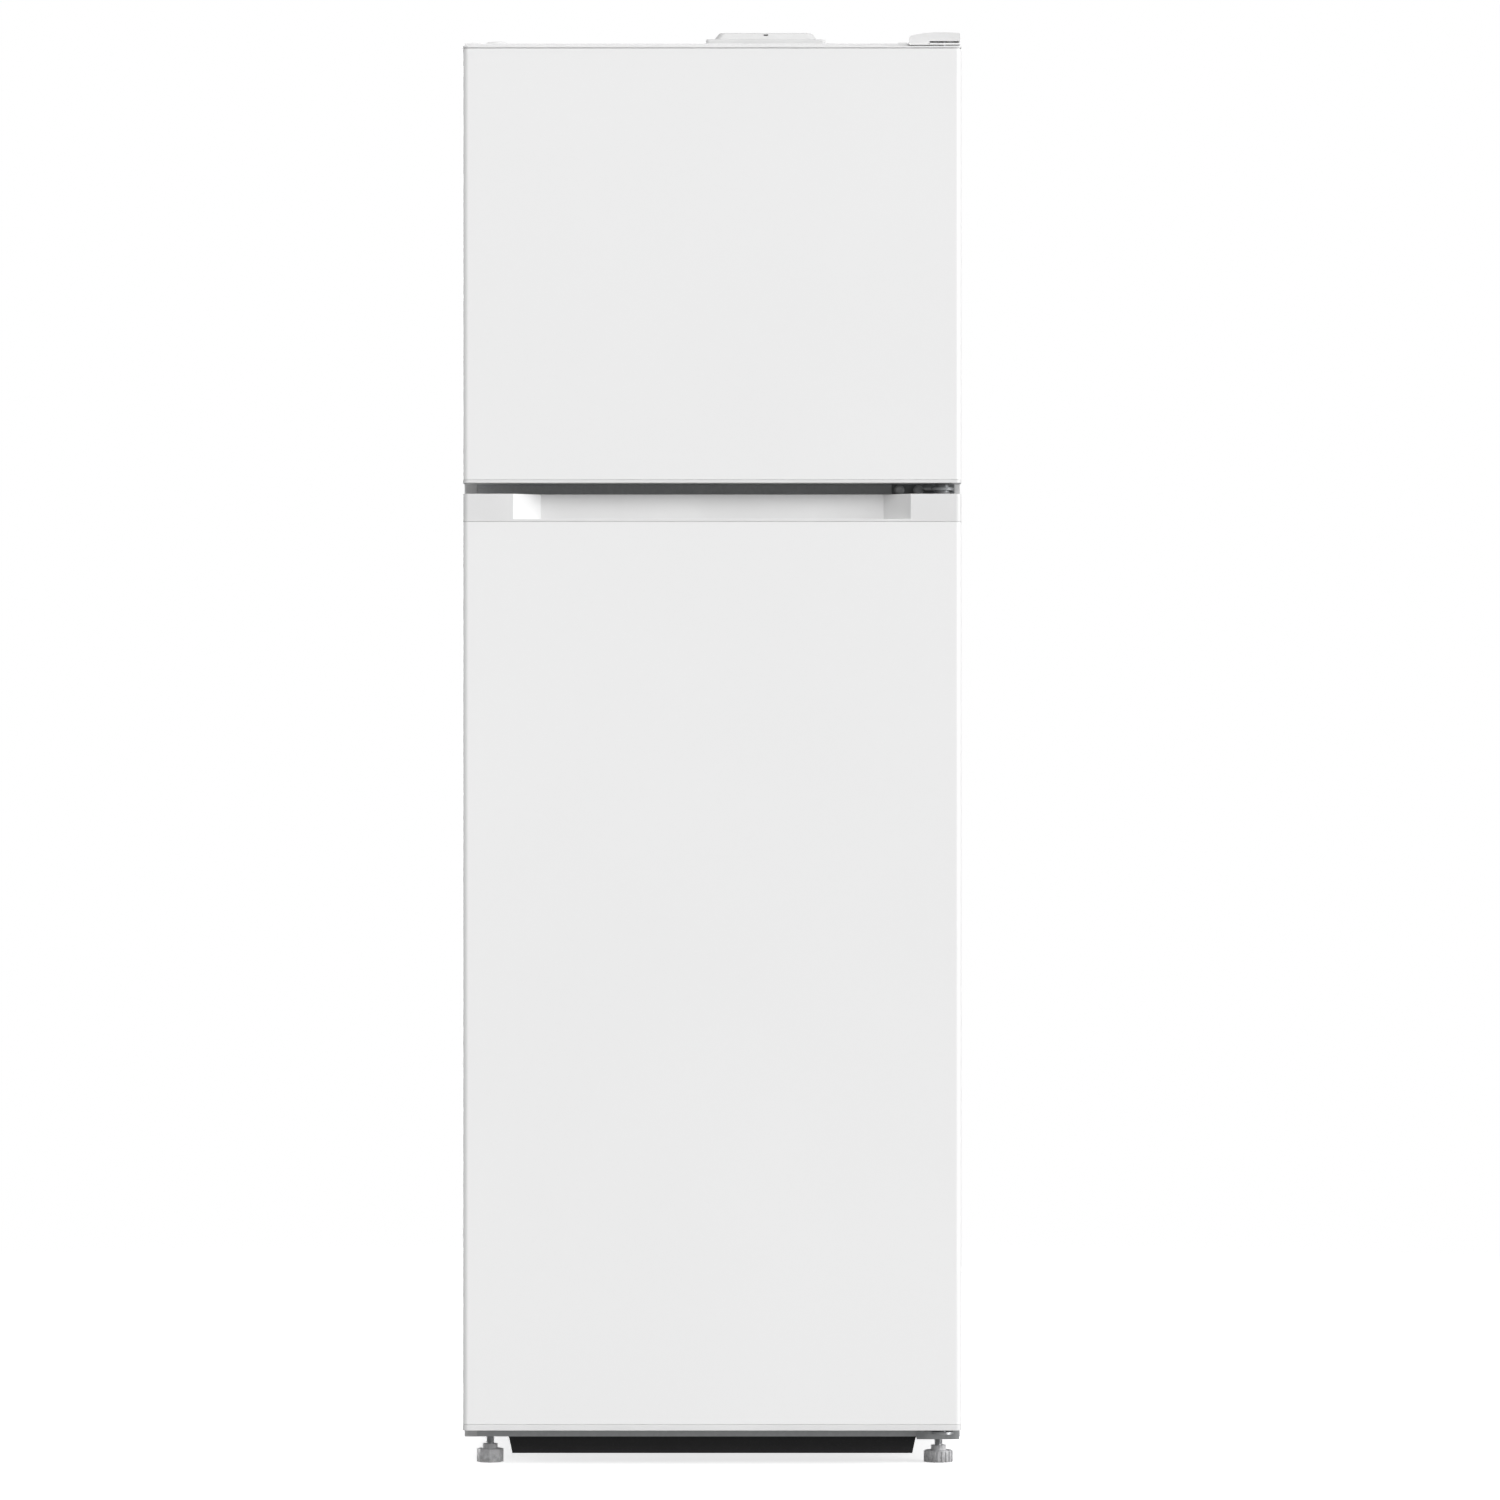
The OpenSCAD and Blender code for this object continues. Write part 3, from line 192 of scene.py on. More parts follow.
def along(edges, axis):
    """Those edges that run along an axis, 0 to 2."""
    return [e for e in edges if abs((e.verts[1].co - e.verts[0].co).normalized()[axis]) > 0.999]


def at(items, axis, level):
    """Those vertices, edges or faces that lie wholly at a level on an axis."""
    def verts(item):
        return [item] if isinstance(item, bmesh.types.BMVert) else item.verts
    return [i for i in items if all(abs(v.co[axis] - level) < SNUG for v in verts(i))]


def pulled_verts(result):
    """The vertices that an extrude operator made."""
    return [v for v in result["geom"] if isinstance(v, bmesh.types.BMVert)]


def prism(bm, points, vec):
    """A flat outline pulled along a vector."""
    face = bm.faces.new([bm.verts.new(point) for point in points])
    pulled = bmesh.ops.extrude_face_region(bm, geom=[face])
    bmesh.ops.translate(bm, verts=pulled_verts(pulled), vec=vec)


def soften(bm, edges, radius, segments=3):
    """Rounds edges with a bevel."""
    return bmesh.ops.bevel(bm, geom=edges, offset=radius, offset_type="OFFSET", segments=segments,
                           profile=0.5, affect="EDGES", clamp_overlap=True, material=-1)


def block(bm, x0, x1, y0, y1, z0, z1, radius=0.0, upright=0.0, segments=3):
    """A box, with its edges rounded, and its upright ones first by a larger radius."""
    size = Matrix.Diagonal((x1 - x0, y1 - y0, z1 - z0, 1))
    centre = Matrix.Translation(((x0 + x1) / 2, (y0 + y1) / 2, (z0 + z1) / 2))
    known = set(bm.verts)
    bmesh.ops.create_cube(bm, size=1, matrix=centre @ size)
    if upright:
        soften(bm, along(edges_of(added(bm, known)), 2), upright, segments + 2)
    if radius:
        edges = edges_of(added(bm, known))
        sharp = [e for e in edges if e.calc_face_angle(0) > math.radians(40)]
        soften(bm, sharp, radius, segments)
    return added(bm, known)


def mirrored_blocks(bm, inner, outer, *box, radius):
    """Two blocks that mirror each other about the middle."""
    for side in (-1, 1):
        block(bm, *sorted((side * inner, side * outer)), *box, radius)


def added(bm, known):
    return [v for v in bm.verts if v not in known]


def plate(bm, outline, z0, z1, radius=0.0):
    """A flat plate with an outline in x and y and rounded rims."""
    known = set(bm.verts)
    prism(bm, [(x, y, z0) for x, y in outline], (0, 0, z1 - z0))
    if radius:
        edges = edges_of(added(bm, known))
        soften(bm, at(edges, 2, z0) + at(edges, 2, z1), radius, 2)
    return added(bm, known)


def rod(bm, start, end, radius, steps=24):
    """A round bar between two points."""
    start, end = Vector(start), Vector(end)
    turn = (end - start).to_track_quat("Z", "Y").to_matrix().to_4x4()
    made = bmesh.ops.create_cone(bm, cap_ends=True, segments=steps, radius1=radius, radius2=radius,
                                 depth=(end - start).length,
                                 matrix=Matrix.Translation((start + end) / 2) @ turn)
    return made["verts"]


AXIS_TURNS = {
    "x": Matrix.Rotation(math.radians(90), 4, "Y"),
    "y": Matrix.Rotation(math.radians(-90), 4, "X"),
    "z": Matrix.Identity(4),
}


def turned(bm, profile, centre, axis="z", steps=32):
    """Spins a profile of (radius, height) points round an axis through a point."""
    known = set(bm.verts)
    verts = [bm.verts.new((radius, 0, height)) for radius, height in profile]
    edges = [bm.edges.new(pair) for pair in zip(verts, verts[1:])]
    bmesh.ops.spin(bm, geom=verts + edges, cent=(0, 0, 0), axis=(0, 0, 1), angle=2 * math.pi,
                   steps=steps, use_merge=True)
    bmesh.ops.remove_doubles(bm, verts=added(bm, known), dist=WELD)
    verts = added(bm, known)
    bmesh.ops.transform(bm, matrix=Matrix.Translation(centre) @ AXIS_TURNS[axis], verts=verts)
    return verts


def ring(bm, box, radius, level, axis, steps):
    """A closed loop of edges round a rectangle with rounded corners, square to an axis."""
    a0, a1, b0, b1 = box
    radius = max(min(radius, (a1 - a0) / 2, (b1 - b0) / 2), 0.05 * MM)
    corners = ((a1 - radius, b1 - radius, 0), (a0 + radius, b1 - radius, 90),
               (a0 + radius, b0 + radius, 180), (a1 - radius, b0 + radius, 270))
    points = [p for a, b, start in corners for p in arc((a, b), radius, start, start + 90, steps)]
    spots = {"x": lambda a, b: (level, a, b), "y": lambda a, b: (a, level, b),
             "z": lambda a, b: (a, b, level)}
    verts = [bm.verts.new(spots[axis](a, b)) for a, b in points]
    return [bm.edges.new(pair) for pair in zip(verts, verts[1:] + verts[:1])]


def loft(bm, rings, axis="z", closed=False, caps=(True, True), steps=5):
    """Joins rounded rectangles (box, radius, level) into one skin, capped or closed on itself."""
    known = set(bm.verts)
    loops = []
    before = None
    for i, (box, radius, level) in enumerate(rings):
        beside = [before] if not (closed and i == len(rings) - 1) else [before, rings[0][2]]
        while any(other is not None and abs(level - other) < APART for other in beside):
            level += APART
        before = level
        loops.append(ring(bm, box, radius, level, axis, steps))
    for first, second in zip(loops, loops[1:] + (loops[:1] if closed else [])):
        bmesh.ops.bridge_loops(bm, edges=first + second)
    for loop, wanted in zip((loops[0], loops[-1]), caps):
        if wanted and not closed:
            bmesh.ops.contextual_create(bm, geom=loop)
    return added(bm, known)


def pan(bm, box, corner, profile, axis="z", closed=False, caps=(True, True), steps=5):
    """A loft round one rectangle: the profile holds (inset, level) pairs."""
    a0, a1, b0, b1 = box
    rings = [((a0 + inset, a1 - inset, b0 + inset, b1 - inset), corner - inset, level)
             for inset, level in profile]
    return loft(bm, rings, axis, closed, caps, steps)


def open_bin(bm, x0, x1, y0, y1, z0, z1, wall, corner, draft=2 * MM, rim=6 * MM, foot=6 * MM):
    """An open bin with rounded corners, a draft to its walls and a thicker rim."""
    step = min(0.9 * MM, wall / 2)
    inner = [(draft + step + wall + p, z0 + wall + q)
             for p, q in arc((foot, foot), foot, 270, 180, 4)]
    outer = [(draft + step + p, z0 + q) for p, q in arc((foot, foot), foot, 180, 270, 4)]
    lip = wall / 2 + step / 2
    top = arc((lip, z1 - lip), lip, 0, 180, 4)
    profile = inner + [(step + wall, z1 - rim)] + top + [(0, z1 - rim), (step, z1 - rim - step)] + outer
    return pan(bm, (x0, x1, y0, y1), corner, profile)


def pipe(bm, points, radius, sides=3):
    """A tube along a run of points, made as a curve with a round section."""
    curve = bpy.data.curves.new("pipe", "CURVE")
    curve.dimensions = "3D"
    curve.bevel_depth = radius
    curve.bevel_resolution = sides
    curve.use_fill_caps = True
    spline = curve.splines.new("POLY")
    spline.points.add(len(points) - 1)
    for spot, point in zip(spline.points, points):
        spot.co = (*point, 1)
    holder = bpy.data.objects.new("pipe", curve)
    mesh = bpy.data.meshes.new_from_object(holder)
    known = set(bm.verts)
    bm.from_mesh(mesh)
    bpy.data.objects.remove(holder)
    bpy.data.meshes.remove(mesh)
    bpy.data.curves.remove(curve)
    bmesh.ops.remove_doubles(bm, verts=added(bm, known), dist=WELD)
    return added(bm, known)


def merged(node):
    """A copy of a CAD node's mesh with its doubled vertices made one."""
    bm = bmesh.new()
    bm.from_mesh(frame["nodes"][node].data)
    bmesh.ops.remove_doubles(bm, verts=bm.verts, dist=WELD)
    return bm


def from_cad(node, radius, segments):
    """A merged copy of a CAD node's mesh with its sharp edges rounded."""
    bm = merged(node)
    bmesh.ops.dissolve_limit(bm, angle_limit=math.radians(0.5), verts=bm.verts, edges=bm.edges)
    limit = math.radians(SHARP_CAD_EDGE)
    sharp = [e for e in bm.edges if len(e.link_faces) == 2 and e.calc_face_angle(0) > limit]
    soften(bm, sharp, radius, segments)
    bmesh.ops.dissolve_degenerate(bm, edges=bm.edges, dist=WELD)
    bmesh.ops.triangulate(bm, faces=[f for f in bm.faces if len(f.verts) > 4])
    return bm


def thicken(bm, depth):
    """Gives an open sheet its thickness, on the side its faces point away from."""
    bmesh.ops.recalc_face_normals(bm, faces=bm.faces)
    bmesh.ops.solidify(bm, geom=bm.faces, thickness=depth)


def piece(name, bm, body, slot, *nodes, finish=None, smooth=38, recalculate=True):
    """Makes an object of a mesh: its shading, its finish (the slot's unless another is named), its body, and
    hides the CAD nodes it stands for.
    """
    if recalculate:
        bmesh.ops.recalc_face_normals(bm, faces=bm.faces)
    limit = math.radians(smooth)
    for face in bm.faces:
        face.smooth = True
    for edge in bm.edges:
        edge.smooth = len(edge.link_faces) == 2 and edge.calc_face_angle(0) < limit
    mesh = bpy.data.meshes.new(name)
    bm.to_mesh(mesh)
    bm.free()
    mesh.materials.append(material(finish or slot))
    made = bpy.data.objects.new(name, mesh)
    bpy.context.scene.collection.objects.link(made)
    made.modifiers.new("Even shading", "WEIGHTED_NORMAL").keep_sharp = True
    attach(made, body)
    if nodes:
        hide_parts(*nodes)


def refined(node, radius, segments=2, finish=None):
    """The CAD node's own form with rounded edges, on its own body, finished as its slot unless another finish
    is named.
    """
    bm = from_cad(node, radius, segments)
    piece(f"{node}_formed", bm, body_of(node), slot_of(node), node, finish=finish)


def body_of(node):
    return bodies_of(frame["nodes"][node])[0]


def slot_of(node):
    return next(s["material_slot"] for s in frame["record"]["subparts"] if s["node"] == node)


def openings(start):
    """Boxes of the openings that the record states, of those whose names start so."""
    stated = frame["record"]["physics"]["openings"]
    return [opening["box_m"] for opening in stated if opening["name"].startswith(start)]


# ---- materials ----

class Value:
    """A socket in a material's graph. Python's operators on it add Math nodes."""

    def __init__(self, graph, socket):
        self.graph = graph
        self.socket = socket

    def _maths(self, operation, first, second):
        return self.graph.node("ShaderNodeMath", {"operation": operation}, {0: first, 1: second})

    def __add__(self, other):
        return self._maths("ADD", self, other)

    def __sub__(self, other):
        return self._maths("SUBTRACT", self, other)

    def __rmul__(self, other):
        return self._maths("MULTIPLY", other, self)


class Graph:
    """One material's node graph, with its own shader."""

    def __init__(self, name):
        self.material = bpy.data.materials.new(name)
        self.material.use_nodes = True
        self.tree = self.material.node_tree
        self.shader = self.tree.nodes["Principled BSDF"]

    def node(self, kind, settings=None, inputs=None, output=0):
        """Adds a node: its settings first, then the values or links of its sockets."""
        made = self.tree.nodes.new(kind)
        for key, value in (settings or {}).items():
            setattr(made, key, value)
        for key, value in (inputs or {}).items():
            self.feed(made.inputs[key], value)
        return Value(self, made.outputs[output])

    def feed(self, socket, value):
        if isinstance(value, Value):
            self.tree.links.new(value.socket, socket)
        else:
            socket.default_value = value

    def shade(self, **sockets):
        """Sets or links the shader's sockets, named with _ for a space."""
        for key, value in sockets.items():
            self.feed(self.shader.inputs[key.replace("_", " ")], value)

    def place(self, stretch=(1, 1, 1)):
        """The object's own coordinates, stretched."""
        spot = self.node("ShaderNodeTexCoord", output="Object")
        return self.node("ShaderNodeMapping", {}, {"Vector": spot, "Scale": stretch})

    def noise(self, scale, detail=2.0, roughness=0.5, stretch=(1, 1, 1)):
        return self.node("ShaderNodeTexNoise", {}, {"Vector": self.place(stretch), "Scale": scale,
                                                    "Detail": detail, "Roughness": roughness})

    def height(self):
        """How high a point stands in the object's own frame."""
        return self.node("ShaderNodeSeparateXYZ", {}, {0: self.place()}, output=2)

    def cells(self, scale, feature="F1", output="Distance"):
        return self.node("ShaderNodeTexVoronoi", {"feature": feature},
                         {"Vector": self.place(), "Scale": scale}, output)

    def between(self, value, low, high, to_low=0.0, to_high=1.0):
        """Maps a value's range to another, clamped at both ends."""
        return self.node("ShaderNodeMapRange", {"interpolation_type": "SMOOTHSTEP"},
                         {0: value, 1: low, 2: high, 3: to_low, 4: to_high})

    def tint(self, mask, first, second):
        """A colour between two colours or links, by a mask."""
        return self.node("ShaderNodeMix", {"data_type": "RGBA"},
                         {0: mask, 6: opaque(first), 7: opaque(second)}, output=2)

    def bump(self, height, distance, strength=1.0):
        return self.node("ShaderNodeBump", {}, {"Height": height, "Distance": distance,
                                                "Strength": strength})


def opaque(colour):
    return colour if isinstance(colour, Value) else (*colour[:3], 1.0)


def scaled(colour, factor):
    return tuple(min(c * factor, 1.0) for c in colour[:3])


def colours():
    return bpy.context.scene.fridge_colours


def enamel(g, colour, roughness, peel, depth=0.012 * MM):
    """Stoved paint: an even colour, a faint orange peel and a slow change of gloss."""
    drift = g.noise(2.2, 2.0)
    g.shade(Base_Color=g.tint(g.between(drift, 0.1, 0.9), scaled(colour, 0.985), scaled(colour, 1.01)),
            Roughness=g.between(g.noise(9, 3.0), 0.25, 0.75, roughness - 0.006, roughness + 0.006),
            Normal=g.bump(g.noise(peel, 1.0), depth, 0.6))


def moulding(g, colour, roughness, grain=1500, depth=0.02 * MM):
    """Moulded plastic: fine spark-eroded grain and slow flow clouds."""
    pits = g.cells(grain)
    clouds = g.noise(14, 3.0)
    g.shade(Base_Color=g.tint(g.between(clouds, 0.3, 0.7), scaled(colour, 0.965), scaled(colour, 1.01)),
            Roughness=g.between(clouds, 0.3, 0.7, roughness - 0.01, roughness + 0.01),
            Normal=g.bump(pits + 0.5 * g.noise(grain * 0.6, 1.0), depth, 0.5))


def painted_door(g):
    enamel(g, colours().door, 0.3, peel=420)


def painted_cabinet(g):
    """Cabinet paint with a fine pebbled texture."""
    colour = colours().cabinet
    pebble = g.between(g.noise(620, 1.5), 0.35, 0.65)
    g.shade(Base_Color=g.tint(pebble, scaled(colour, 0.965), scaled(colour, 1.01)),
            Roughness=g.between(g.noise(7, 3.0), 0.25, 0.75, 0.38, 0.46),
            Normal=g.bump(pebble, 0.05 * MM, 0.55))


def galvanised_steel(g):
    """Galvanised sheet: a mosaic of spangles, each its own grey and gloss, with faint rolling lines."""
    spangle = g.cells(230, output="Color")
    grey = g.node("ShaderNodeSeparateColor", {}, {"Color": spangle})
    lines = g.noise(60, 2.0, stretch=(1, 1, 22))
    mosaic = g.between(grey + 0.25 * lines, 0.0, 1.2)
    g.shade(Base_Color=g.tint(mosaic, (0.59, 0.6, 0.61), (0.635, 0.645, 0.655)),
            Roughness=g.between(grey, 0.0, 1.0, 0.43, 0.48), Metallic=0.55,
            Normal=g.bump(grey + 0.4 * lines, 0.012 * MM, 0.5))


def zinc_fitting(g):
    """Bright zinc plate with drawn lines, and duller in patches."""
    drawn = g.noise(160, 3.0, 0.6, (1, 1, 9))
    dull = g.between(g.noise(38, 4.0, 0.6), 0.4, 0.7)
    g.shade(Base_Color=g.tint(dull, (0.58, 0.59, 0.6), (0.44, 0.45, 0.46)),
            Roughness=g.between(dull + 0.3 * drawn, 0.0, 1.3, 0.38, 0.55), Metallic=0.7,
            Normal=g.bump(drawn, 0.015 * MM, 0.5))


def shaded_zinc(g):
    """Zinc plate darkened to a dull grey: painted shade for the middle hinge, which sits in the gap between
    the doors.
    """
    dull = g.between(g.noise(38, 4.0, 0.6), 0.4, 0.7)
    # Both greys are painted shade; the mask only varies them in patches.
    g.shade(Base_Color=g.tint(dull, (0.3, 0.31, 0.32), (0.22, 0.225, 0.23)),
            Roughness=g.between(dull, 0.0, 1.0, 0.5, 0.6), Metallic=0.5,
            Normal=g.bump(g.noise(160, 3.0), 0.015 * MM, 0.5))


def white_trim(g):
    moulding(g, colours().trim, 0.36)


def liner_plastic(g):
    """Vacuum-formed sheet: glossy, with a soft ripple where it stretched."""
    colour = colours().liner
    ripple = g.noise(26, 2.0)
    g.shade(Base_Color=g.tint(g.between(ripple, 0.3, 0.7), scaled(colour, 0.98), scaled(colour, 1.0)),
            Roughness=g.between(g.noise(11, 3.0), 0.3, 0.7, 0.245, 0.255),
            Normal=g.bump(ripple, 0.1 * MM, 0.25))


def insulation_foam(g):
    """Blown foam: cells of several sizes and a browner skin in patches."""
    cells = g.cells(260, feature="SMOOTH_F1")
    skin = g.between(g.noise(16, 5.0, 0.6), 0.4, 0.65)
    g.shade(Base_Color=g.tint(skin, colours().foam, scaled(colours().foam, 0.72)),
            Roughness=g.between(skin, 0.0, 1.0, 0.95, 0.7),
            Normal=g.bump(cells + g.noise(90, 4.0), 0.9 * MM, 0.8))


def black_plastic(g):
    colour = colours().kick
    speck = g.between(g.noise(900, 2.0), 0.55, 0.75)
    g.shade(Base_Color=g.tint(speck, colour, scaled(colour, 1.8)),
            Roughness=g.between(g.noise(20, 4.0), 0.3, 0.7, 0.55, 0.7),
            Normal=g.bump(g.cells(1300), 0.03 * MM, 0.6))
    g.shade(Specular_IOR_Level=0.3)


def grey_plastic(g):
    moulding(g, (0.34, 0.345, 0.35), 0.45, grain=1100)


def compressor_enamel(g):
    """Thick black enamel, glossy, with a film of dust over the top of the dome."""
    bottom, top = span("compressor")[4:]
    height = g.height()
    dust = g.between(height + 0.04 * g.noise(45, 5.0), 0.4 * bottom + 0.6 * top, top + 0.03)
    g.shade(Base_Color=g.tint(dust, (0.012, 0.012, 0.013), (0.11, 0.105, 0.1)),
            Roughness=g.between(dust, 0.0, 1.0, 0.22, 0.7),
            Normal=g.bump(g.noise(240, 2.0), 0.05 * MM, 0.5))


def rubber_mount(g):
    bloom = g.between(g.noise(120, 4.0), 0.45, 0.7)
    g.shade(Base_Color=g.tint(bloom, (0.014, 0.014, 0.014), (0.05, 0.05, 0.05)),
            Roughness=g.between(bloom, 0.0, 1.0, 0.6, 0.85), Normal=g.bump(g.noise(700), 0.03 * MM, 0.5))


def gasket_vinyl(g):
    """Soft vinyl: a waxy sheen and fine lines from the extruder."""
    colour = colours().gasket
    lines = g.noise(900, 1.0, stretch=(0.03, 1, 0.03))
    g.shade(Base_Color=g.tint(g.between(g.noise(20, 3.0), 0.3, 0.7), colour, scaled(colour, 1.05)),
            Roughness=g.between(g.noise(30, 3.0), 0.3, 0.7, 0.4, 0.52), Normal=g.bump(lines, 0.03 * MM, 0.4))


def coil_enamel(g):
    enamel(g, (0.016, 0.016, 0.017), 0.34, peel=300, depth=0.05 * MM)


def copper_pipe(g):
    """Copper with a warm tarnish that gathers in patches."""
    tarnish = g.between(g.noise(55, 5.0, 0.65), 0.42, 0.68)
    g.shade(Base_Color=g.tint(tarnish, (0.8, 0.39, 0.25), (0.34, 0.15, 0.09)),
            Roughness=g.between(tarnish, 0.0, 1.0, 0.2, 0.48), Metallic=1.0,
            Normal=g.bump(g.noise(320, 2.0), 0.02 * MM, 0.4))


def fin_aluminium(g):
    rolled = g.noise(260, 3.0, 0.5, (1, 1, 14))
    g.shade(Base_Color=g.tint(rolled, (0.6, 0.62, 0.64), (0.76, 0.77, 0.78)),
            Roughness=g.between(rolled, 0.2, 0.8, 0.26, 0.4), Metallic=1.0,
            Normal=g.bump(rolled, 0.02 * MM, 0.5))


def circuit_board(g):
    """Green solder mask over raised tracks."""
    tracks = g.node("ShaderNodeTexBrick", {"offset": 0.37, "squash": 1.4},
                    {"Vector": g.place(), "Scale": 90.0, "Mortar Size": 0.07, "Mortar Smooth": 0.2,
                     "Color1": (0, 0, 0, 1), "Color2": (0, 0, 0, 1), "Mortar": (1, 1, 1, 1)},
                    output="Fac")
    g.shade(Base_Color=g.tint(tracks, (0.02, 0.13, 0.05), (0.05, 0.26, 0.1)),
            Roughness=g.between(tracks, 0.0, 1.0, 0.42, 0.26), Normal=g.bump(tracks, 0.05 * MM, 0.8))


def shelf_glass(g):
    """Toughened glass with a green cast and a faint smear."""
    smear = g.between(g.noise(6, 4.0), 0.45, 0.75)
    g.shade(Base_Color=g.tint(smear, (0.9, 0.975, 0.955), (0.86, 0.95, 0.93)),
            Roughness=g.between(smear, 0.0, 1.0, 0.015, 0.07))
    g.shade(Transmission_Weight=0.94, IOR=1.46)


def clear_bin(g):
    """Clear styrene with a cool cast, flow lines and a light haze."""
    haze = g.between(g.noise(17, 4.0), 0.35, 0.75)
    g.shade(Base_Color=g.tint(haze, (0.93, 0.965, 0.98), (0.88, 0.93, 0.955)),
            Roughness=g.between(haze, 0.0, 1.0, 0.05, 0.13), Normal=g.bump(g.noise(30, 2.0), 0.2 * MM, 0.3))
    g.shade(Transmission_Weight=0.82, IOR=1.5)


def lamp_diffuser(g):
    """Milky diffuser with small prisms."""
    prisms = g.cells(420)
    g.shade(Base_Color=g.tint(prisms, (0.9, 0.89, 0.85), (0.8, 0.79, 0.76)),
            Roughness=g.between(prisms, 0.0, 0.8, 0.25, 0.42), Normal=g.bump(prisms, 0.3 * MM, 0.8))
    g.shade(Transmission_Weight=0.25, IOR=1.49)


def foot_plastic(g):
    """Moulded nylon, scuffed towards the floor."""
    height = g.height()
    scuff = g.between(g.noise(210, 5.0, 0.6) - 30 * height, 0.05, 0.55)
    colour = colours().foot
    g.shade(Base_Color=g.tint(scuff, colour, scaled(colour, 0.6)),
            Roughness=g.between(scuff, 0.0, 1.0, 0.42, 0.62), Normal=g.bump(g.cells(900), 0.03 * MM, 0.5))


def cover_plastic(g):
    """The control cover's plastic: the trim's colour darkened by a fifth, painted shade that holds down the
    light the cover catches on the cabinet's top.
    """
    moulding(g, scaled(colours().trim, 0.8), 0.45)


def shadow_plastic(g):
    """Painted shade: a near-black colour standing in for the shade inside a small slot or recess."""
    moulding(g, (0.03, 0.03, 0.03), 0.6)


def nylon_bush(g):
    # Dark grey: partly the bush's own colour, partly painted shade for the gap between the doors.
    moulding(g, (0.16, 0.16, 0.165), 0.5, grain=1800)


FINISHES = {f.__name__: f for f in (
    painted_door, painted_cabinet, galvanised_steel, zinc_fitting, white_trim, liner_plastic,
    insulation_foam, black_plastic, grey_plastic, compressor_enamel, rubber_mount, gasket_vinyl,
    coil_enamel, copper_pipe, fin_aluminium, circuit_board, shelf_glass, clear_bin, lamp_diffuser,
    foot_plastic, cover_plastic, shadow_plastic, shaded_zinc, nylon_bush)}


def material(finish):
    """A finish's material, made the first time that it is asked for."""
    name = f"{finish}_finish"
    if name not in bpy.data.materials:
        FINISHES[finish](Graph(name))
    return bpy.data.materials[name]


# ---- doors ----

class DoorSkins(bpy.types.Operator):
    """Folds each door's steel skin round its front and sides."""

    bl_idname = "fridge.door_skins"
    bl_label = "Door skins"

    def execute(self, context):
        sizes = context.scene.fridge_sizes
        for door in DOORS:
            node = f"{door}_skin"
            x0, x1, y0, y1, z0, z1 = span(node)
            z0 += sizes.seam / 2
            z1 -= sizes.seam / 2 if door == "fridge_door" else sizes.seam + sizes.top_strip
            bm = bmesh.new()
            block(bm, x0, x1, y0, y1, z0, z1)
            uprights = at(along(bm.edges, 2), 1, y0)
            soften(bm, uprights, sizes.edge_radius, 8)
            ends = [f for f in bm.faces if abs(f.normal.z) > 0.9 or f.normal.y > 0.9]
            bmesh.ops.delete(bm, geom=ends, context="FACES")
            thicken(bm, sizes.sheet)
            piece(f"{door}_folded_skin", bm, door, "painted_door", node, recalculate=False)
        return {"FINISHED"}


class DoorCaps(bpy.types.Operator):
    """Moulds the handle cap and the trim strips that close the doors' ends."""

    bl_idname = "fridge.door_caps"
    bl_label = "Door caps and handle"

    def execute(self, context):
        radius = context.scene.fridge_sizes.cap_radius
        refined("fridge_door_handle_cap", radius, 3)
        refined("freezer_door_bottom_cap", radius * 0.6, 2)
        refined("fridge_door_bottom_cap", radius * 0.6, 2)
        self.top_cap(context.scene.fridge_sizes)
        return {"FINISHED"}

    def top_cap(self, sizes):
        """The freezer door's top cap: a plug inside the skin under a strip flush with its face."""
        low = span("freezer_door_top_cap")[4]
        x0, x1, y0, y1, _, z1 = span("freezer_door_skin")
        step = z1 - sizes.top_strip
        bm = bmesh.new()
        plate(bm, self.outline(x0, x1, y0, y1, sizes.edge_radius), step, z1, 0.5 * MM)
        inset = sizes.sheet + 0.4 * MM
        plug = self.outline(x0 + inset, x1 - inset, y0 + inset, y1 - inset, sizes.edge_radius - inset)
        plate(bm, plug, low, step + 0.2 * MM)
        piece("freezer_door_top_strip", bm, "freezer_door", "white_trim", "freezer_door_top_cap")

    def outline(self, x0, x1, y0, y1, radius):
        """A rectangle whose two front corners are rounded."""
        left = arc((x0 + radius, y0 + radius), radius, 180, 270, 6)
        right = arc((x1 - radius, y0 + radius), radius, 270, 360, 6)
        return [(x0, y1)] + left + right + [(x1, y1)]


